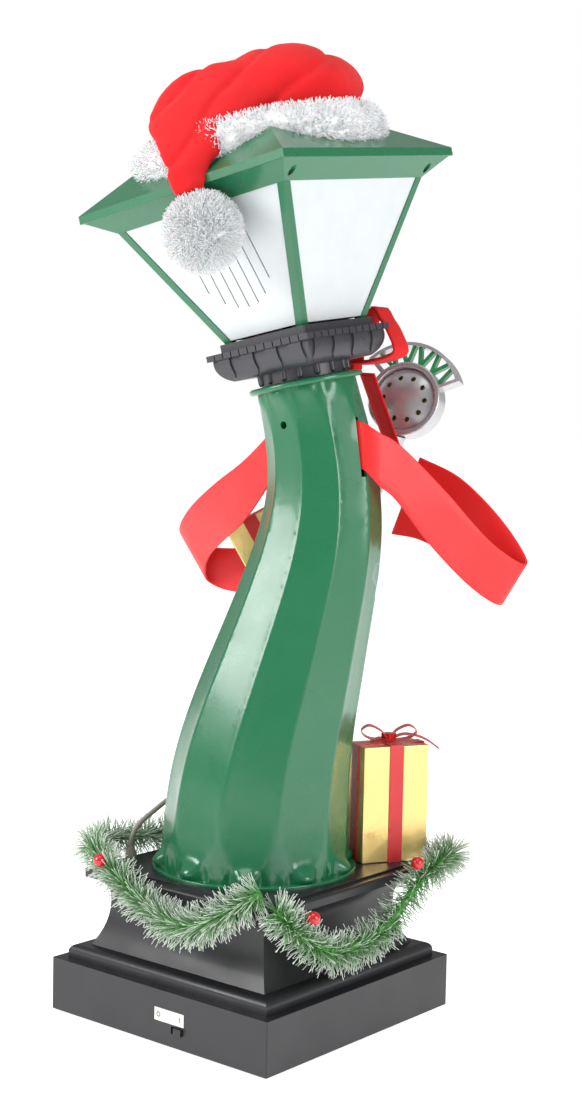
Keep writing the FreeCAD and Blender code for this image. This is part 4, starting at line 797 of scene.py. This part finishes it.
@dataclass
class Hat:
    """Felt hat with a plush brim and a pompom, in millimetres in the frame of the head.

    A warp or a lump is a pair: the rate of its noise and its size.
    """

    head: Matrix
    brim_circle: float = 90.5
    brim_wide: float = 12.5
    brim_levels: Tuple[float, float] = (176.0, 205.0)
    crown_centre: Point = (-17, -14, 226)
    crown_size: Point = (73, 69, 48)
    pompom_centre: Point = (-23, 117, 124)
    pompom_radius: float = 27.0
    flap: Sequence[Tuple[Point, float, float, float]] = (
        ((-17, 9, 242), 58, 26, 0.0),
        ((-11, 47, 236), 55, 24, 0.25),
        ((-14, 76, 219), 47, 17, 0.8),
        ((-20, 98, 196), 33, 12, 1.15),
        ((-22, 119, 174), 19, 7, 1.4),
        ((-23, 121, 152), 12, 7, 1.55),
    )
    across: Vector = field(default_factory=lambda: Vector((-0.768, -0.640, 0)))
    crossing: Vector = field(default_factory=lambda: Vector((0.548, 0.387, 0.742)))
    voxel: float = 3.2
    crease_rate: float = 0.085
    crease_depth: float = 3.6
    crease_warp: Tuple[float, float] = (0.011, 1.8)
    crown_lumps: Sequence[Tuple[float, float]] = ((0.022, 4.0), (0.08, 0.7))
    brim_swell: float = 3.0
    brim_lump: Tuple[float, float] = (60.0, 1.6)
    pompom_lump: Tuple[float, float] = (110.0, 0.05)
    brim_pile: Pile = Pile(6.0, 1.1, 2.0, 16000, 11, 0.7, (0.6, 1.15))
    pompom_pile: Pile = Pile(6.5, 1.1, 2.2, 9000, 12, 0.65, (0.6, 1.1))

    def build(self, paint: Paintbox) -> None:
        """Make the crown, the brim and the pompom."""
        self._crown(paint)
        self._brim(paint)
        self._pompom(paint)

    def _crown(self, paint: Paintbox) -> None:
        """Make the felt crown with its folded tail."""
        bm = bmesh.new()
        bmesh.ops.create_uvsphere(bm, u_segments=32, v_segments=20, radius=MM)
        bmesh.ops.scale(bm, vec=self.crown_size, verts=bm.verts)
        bmesh.ops.translate(bm, vec=mm(self.crown_centre), verts=bm.verts)
        shell = piece_from(bm, "crown_shell")
        rings = []
        for centre, wide, tall, droop in self.flap:
            rise = Vector((0, math.sin(droop), math.cos(droop)))
            rings.append(oval_ring(mm(centre), self.across * wide * MM, rise * tall * MM))
        tail = piece_from(bridge_rings(rings), "crown_tail")
        bm = bmesh.new()
        bm.from_mesh(shell.data)
        bm.from_mesh(tail.data)
        for helper in (shell, tail):
            bpy.data.objects.remove(helper)
        crown = piece_from(bm, "felt_crown")
        add_modifier(crown, "REMESH", mode="VOXEL", voxel_size=self.voxel * MM, use_smooth_shade=True)
        add_modifier(crown, "SMOOTH", factor=0.6, iterations=9)
        settle(crown)
        self._fold(crown.data)
        add_modifier(crown, "SUBSURF", levels=1, render_levels=1)
        crown.data.transform(self.head)
        self._finish(crown, paint, "red_felt", "hat_body")

    def _fold(self, mesh: bpy.types.Mesh) -> None:
        """Press long soft folds into the felt, running towards the tail."""
        normals = [v.normal.copy() for v in mesh.vertices]
        warp_rate, warp_size = self.crease_warp
        for vert, normal in zip(mesh.vertices, normals):
            at = vert.co / MM
            warp = noise.noise(at * warp_rate) * warp_size
            crease = (1 - abs(math.sin(at.dot(self.crossing) * self.crease_rate + warp))) ** 3
            lump = sum(noise.noise(at * rate) * size for rate, size in self.crown_lumps)
            vert.co += normal * (lump - self.crease_depth * crease) * MM

    def _brim(self, paint: Paintbox) -> None:
        """Make the plush ring on the roof."""
        low, high = self.brim_levels
        bm = bmesh.new()
        middle = Vector((self.brim_circle, 0, (low + high) / 2)) * MM
        wide = Vector((self.brim_wide, 0, 0)) * MM
        tall = Vector((0, 0, (high - low) / 2 + self.brim_swell)) * MM
        rim = oval_ring(middle, wide, tall, 14)
        verts = [bm.verts.new(p) for p in rim]
        edges = [bm.edges.new(pair) for pair in zip(verts, verts[1:] + verts[:1])]
        bmesh.ops.spin(
            bm,
            geom=verts + edges,
            cent=(0, 0, 0),
            axis=(0, 0, 1),
            angle=math.tau,
            steps=96,
            use_merge=True,
        )
        bmesh.ops.remove_doubles(bm, verts=bm.verts, dist=1e-6)
        bmesh.ops.recalc_face_normals(bm, faces=bm.faces)
        bm.normal_update()
        rate, size = self.brim_lump
        for vert in bm.verts:
            vert.co += vert.normal * noise.noise(vert.co * rate) * size * MM
        brim = piece_from(bm, "plush_brim")
        brim.data.transform(self.head)
        pile = self.brim_pile
        tufts = scatter("plush_brim_pile", pile.fibre(), pile.places(brim.data))
        self._finish(brim, paint, "white_fur", "hat_brim")
        self._finish(tufts, paint, "white_fur")

    def _pompom(self, paint: Paintbox) -> None:
        """Make the round pompom at the end of the tail."""
        bm = bmesh.new()
        bmesh.ops.create_icosphere(bm, subdivisions=4, radius=self.pompom_radius * MM)
        rate, size = self.pompom_lump
        for vert in bm.verts:
            vert.co *= 1 + size * noise.noise(vert.co * rate)
        bmesh.ops.translate(bm, vec=mm(self.pompom_centre), verts=bm.verts)
        ball = piece_from(bm, "pompom")
        ball.data.transform(self.head)
        pile = self.pompom_pile
        tufts = scatter("pompom_pile", pile.fibre(), pile.places(ball.data))
        self._finish(ball, paint, "white_fur", "hat_pompom")
        self._finish(tufts, paint, "white_fur")

    @staticmethod
    def _finish(piece: bpy.types.Object, paint: Paintbox, slot: str, *nodes: str) -> None:
        """Dress a piece of the hat and let it ride the hat."""
        paint.dress(piece, slot)
        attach(piece, "hat")
        if nodes:
            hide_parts(*nodes)
        LOG.info("%s made", piece.name)


@dataclass
class NeckBow:
    """Felt bow under the lantern, with two open loops and two tails."""

    knot: Point = (-29, -81.5, 556)
    knot_size: Point = (17, 13, 17)
    loop: Sequence[Tuple[float, float]] = (
        (6, -2),
        (25, -1),
        (41, 2),
        (53, 8),
        (45, 25),
        (38, 34),
        (28, 44),
        (14, 20),
        (6, 8),
    )
    loop_width: float = 20.0
    band: float = 3.0
    tail: Sequence[Point] = ((12, -6, -11), (15, -14, -30), (20, -24, -56), (27, -32, -84), (29, -35, -97))
    tail_edges: Tuple[Point, Point] = ((11, 3, 0), (-9, -3, 1))
    tail_band: float = 1.6

    def build(self, paint: Paintbox) -> None:
        """Make the loops, the knot and the tails."""
        loops = self._loops()
        self._finish(loops, paint, "bow_loops")
        bm = bmesh.new()
        bmesh.ops.create_cube(bm, size=1)
        bmesh.ops.scale(bm, vec=mm(self.knot_size), verts=bm.verts)
        bmesh.ops.subdivide_edges(bm, edges=bm.edges, cuts=3, use_grid_fill=True)
        bmesh.ops.translate(bm, vec=mm(self.knot), verts=bm.verts)
        knot = piece_from(bm, "bow_centre")
        add_modifier(knot, "SUBSURF", levels=2, render_levels=2)
        self._finish(knot, paint, "bow_knot")
        tails = self._tails()
        paint.dress(tails, "red_felt")
        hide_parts("bow_tails")
        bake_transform(tails)
        LOG.info("bow made")

    def _loops(self) -> bpy.types.Object:
        """Return both loops as one piece."""
        joined = bmesh.new()
        for side in (-1, 1):
            line = [mm((self.knot[0] + side * x, 0, self.knot[2] + z)) for x, z in self.loop]
            line = through([*line, line[0]], 4)
            front = self.knot[1] - self.loop_width / 2
            uppers = [p + mm((0, front, 0)) for p in line]
            lowers = [p + mm((0, front + self.loop_width, 0)) for p in line]
            add_strip(joined, uppers, lowers)
        bmesh.ops.recalc_face_normals(joined, faces=joined.faces)
        loops = piece_from(joined, "bow_bands")
        add_modifier(loops, "SOLIDIFY", thickness=self.band * MM, offset=0.0)
        add_modifier(loops, "BEVEL", width=0.9 * MM, segments=2, limit_method="ANGLE", angle_limit=1.0)
        return loops

    def _tails(self) -> bpy.types.Object:
        """Return both tails as one piece."""
        joined = bmesh.new()
        knot_x, knot_y, knot_z = self.knot
        outer, inner = self.tail_edges
        for side in (-1, 1):
            marks = [mm((knot_x + side * x, knot_y + y, knot_z + z)) for x, y, z in self.tail]
            line = through(marks, 5)
            uppers = [p + mm((side * outer[0], outer[1], outer[2])) for p in line]
            lowers = [p + mm((side * inner[0], inner[1], inner[2])) for p in line]
            add_strip(joined, uppers, lowers)
        tails = piece_from(joined, "bow_ends")
        add_modifier(tails, "SOLIDIFY", thickness=self.tail_band * MM, offset=0.0)
        settle(tails)
        return tails

    @staticmethod
    def _finish(piece: bpy.types.Object, paint: Paintbox, node: str) -> None:
        """Dress a piece of the bow and let it ride the head."""
        paint.dress(piece, "red_felt")
        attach(piece, "head")
        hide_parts(node)


@dataclass
class Arms:
    """Two flat ribbon arms that bend out of the column's seams."""

    thickness: float = 2.6
    right: Sequence[Tuple[Point, Point]] = (
        ((-76, -29, 505), (-78, -29, 466)),
        ((-85, -30, 502.5), (-87, -30, 463)),
        ((-94, -38.5, 495), (-95, -37, 452)),
        ((-104, -56, 484), (-103, -52, 439)),
        ((-126, -90, 447), (-119, -78, 403)),
        ((-147, -122, 408), (-135, -108, 371)),
        ((-163, -147, 388), (-147, -132, 353)),
        ((-164, -158, 390), (-146, -148, 352)),
        ((-149, -156, 412), (-127, -148, 369)),
        ((-128, -150, 436), (-97, -143, 387)),
        ((-99, -145, 459), (-66, -139, 401)),
        ((-64, -138, 474), (-38, -134, 405)),
    )
    left: Sequence[Tuple[Point, Point]] = (
        ((2, -29, 505), (3, -29, 466)),
        ((14, -29, 494), (14, -30, 452)),
        ((48, -32, 468), (50, -40, 418)),
        ((91, -42, 446), (87, -54, 397)),
        ((130, -54, 424), (122, -72, 379)),
        ((157, -68, 404), (139, -84, 363)),
        ((163, -82, 392), (145, -96, 351)),
        ((150, -98, 384), (134, -106, 344)),
        ((118, -112, 384), (108, -114, 342)),
        ((84, -121, 390), (78, -121, 347)),
        ((52, -127, 396), (48, -126, 353)),
    )

    def build(self, paint: Paintbox) -> None:
        """Bend both ribbons."""
        for name, stations in (("right", self.right), ("left", self.left)):
            uppers = through([mm(high) for high, _ in stations], 8)
            lowers = through([mm(low) for _, low in stations], 8)
            arm = piece_from(strip_between(uppers, lowers, ARM_ROWS), f"{name}_ribbon_arm")
            add_modifier(arm, "SOLIDIFY", thickness=self.thickness * MM, offset=0.0, use_even_offset=True)
            add_modifier(arm, "BEVEL", width=1.0 * MM, segments=3, limit_method="ANGLE", angle_limit=1.0)
            paint.dress(arm, "red_ribbon")
            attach(arm, "root")
            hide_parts(f"{name}_arm")
            LOG.info("%s arm made", name)


@dataclass
class GiftBow:
    """Satin bow with a forked end on the gift that stands by the column."""

    width: float = 12.0
    run: Point = (-0.767, -0.637, 0)
    rise: float = 1.2
    knot_size: Point = (9, 9, 7)
    knot_rise: float = 3.0
    band: float = 0.7
    loops: Sequence[Tuple[Tuple[float, float], ...]] = (
        ((0, 0), (6, 9), (17, 14), (24, 9), (17, 3), (0, 0)),
        ((0, 0), (-6, 8), (-17, 13), (-24, 8), (-17, 2), (0, 0)),
    )
    ends: Sequence[Tuple[Tuple[float, float], ...]] = (
        ((0, 1), (12, 6), (24, 5), (34, 1), (44, -6)),
        ((0, 1), (-9, 2), (-17, -2)),
    )

    def build(self, paint: Paintbox) -> None:
        """Make two loops, two ends and the knot where the ribbons cross."""
        low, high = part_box("gift_bow")
        centre = Vector(((low.x + high.x) / 2, (low.y + high.y) / 2, low.z + self.rise * MM))
        side = Vector(self.run).normalized()
        across = Vector((-side.y, side.x, 0)) * self.width / 2 * MM
        joined = bmesh.new()
        for marks in (*self.loops, *self.ends):
            line = through([centre + side * x * MM + Vector((0, 0, z * MM)) for x, z in marks], 6)
            add_strip(joined, [p + across for p in line], [p - across for p in line])
        knot = bmesh.ops.create_cube(joined, size=1)["verts"]
        bmesh.ops.scale(joined, vec=mm(self.knot_size), verts=knot)
        bmesh.ops.translate(joined, vec=centre + mm((0, 0, self.knot_rise)), verts=knot)
        bow = piece_from(joined, "gift_satin_bow")
        add_modifier(bow, "SOLIDIFY", thickness=self.band * MM, offset=0.0)
        add_modifier(bow, "BEVEL", width=0.25 * MM, segments=2, limit_method="ANGLE", angle_limit=1.0)
        paint.dress(bow, "red_satin")
        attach(bow, "root")
        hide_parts("gift_bow")
        LOG.info("gift bow made")


@dataclass
class Garland:
    """Twisted wire with needles, draped round the foot of the column."""

    count: int = 5600
    seed: int = 7
    needle: Point = (22.0, 1.3, 2.5)
    forward: Tuple[float, float] = (-0.2, 0.9)
    scales: Tuple[float, float] = (0.7, 1.0)
    route: Sequence[Point] = (
        (-97, 104, 138),
        (-74, 116, 121),
        (-44, 119, 104),
        (-12, 119, 102),
        (24, 118, 116),
        (58, 115, 133),
        (96, 98, 142),
        (110, 66, 140),
        (111, 30, 136),
        (112, -10, 132),
        (113, -50, 127),
        (114, -90, 128),
        (96, -118, 126),
        (58, -122, 108),
        (16, -124, 98),
        (-28, -134, 102),
        (-66, -148, 114),
        (-104, -142, 126),
        (-120, -108, 132),
        (-120, -72, 116),
        (-119, -36, 90),
        (-119, 4, 80),
        (-119, 44, 83),
        (-117, 80, 104),
        (-108, 97, 124),
    )

    def build(self, paint: Paintbox) -> None:
        """Set the needles round the wire."""
        draw = random.Random(self.seed)
        line = through([mm(p) for p in self.route], 20)
        places = []
        for _ in range(self.count):
            i = draw.randrange(len(line) - 1)
            along = (line[i + 1] - line[i]).normalized()
            point = line[i].lerp(line[i + 1], draw.random())
            out = Vector([draw.gauss(0, 1) for _ in range(3)]).cross(along).normalized()
            up = (out + along * draw.uniform(*self.forward)).normalized()
            turn = turn_to(up, draw.uniform(0, math.tau))
            places.append(Matrix.Translation(point) @ turn @ Matrix.Scale(draw.uniform(*self.scales), 4))
        length, width, bend = self.needle
        needles = scatter("garland_needles", tuft_template(length * MM, width * MM, bend * MM), places)
        paint.dress(needles, "garland_green")
        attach(needles, "root")
        LOG.info("garland made")


@dataclass
class SwitchMarks:
    """Raised ring and stroke beside the slide switch.

    raise_by is in millimetres. The rest are shares: the ring's radius of the plate's
    height, its bore and the stroke's half width of that radius, and how far along
    half the plate each mark sits.
    """

    raise_by: float = 0.15
    ring: float = 0.2
    bore: float = 0.68
    stroke_width: float = 0.18
    spread: float = 0.72

    def build(self, paint: Paintbox) -> None:
        """Make the two generic on and off marks on the plate."""
        low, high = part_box("switch_plate")
        middle = (low + high) / 2
        half = (high.x - low.x) / 2
        bm = bmesh.new()
        size = (high.z - low.z) * self.ring
        for inner in (0, 1):
            bmesh.ops.create_circle(bm, segments=28, radius=size * (self.bore if inner else 1.0), cap_ends=False)
        bmesh.ops.bridge_loops(bm, edges=bm.edges)
        bmesh.ops.translate(bm, vec=(half * self.spread, 0, 0), verts=bm.verts)
        stroke = bmesh.ops.create_grid(bm, x_segments=1, y_segments=1, size=1)["verts"]
        bmesh.ops.scale(bm, vec=(size * self.stroke_width, size, 1), verts=stroke)
        bmesh.ops.translate(bm, vec=(-half * self.spread, 0, 0), verts=stroke)
        bmesh.ops.transform(bm, matrix=Matrix.Rotation(math.pi / 2, 4, "X"), verts=bm.verts)
        bmesh.ops.translate(bm, vec=(middle.x, high.y + self.raise_by * MM / 2, middle.z), verts=bm.verts)
        marks = piece_from(bm, "switch_marks", False)
        add_modifier(marks, "SOLIDIFY", thickness=self.raise_by * MM, offset=0.0)
        paint.dress(marks, "black_plastic")
        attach(marks, "root")
        LOG.info("switch marks made")


def corners(box: Tuple[Vector, Vector]) -> List[List[float]]:
    """Return a box as plain lists of numbers."""
    return [[float(c) for c in corner] for corner in box]


def main() -> None:
    """Dress the frame and build every sub-assembly."""
    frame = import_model()
    Stage().build()
    paint = Paintbox()
    paint.dress_frame(frame["nodes"], frame["record"])
    head = head_matrix(frame["joints"])
    makers: Tuple[Callable[[Paintbox], None], ...] = (
        Cable().build,
        Hat(head).build,
        NeckBow().build,
        Arms().build,
        GiftBow().build,
        Garland().build,
        SwitchMarks().build,
    )
    for make in makers:
        make(paint)


if __name__ == "__main__":
    main()
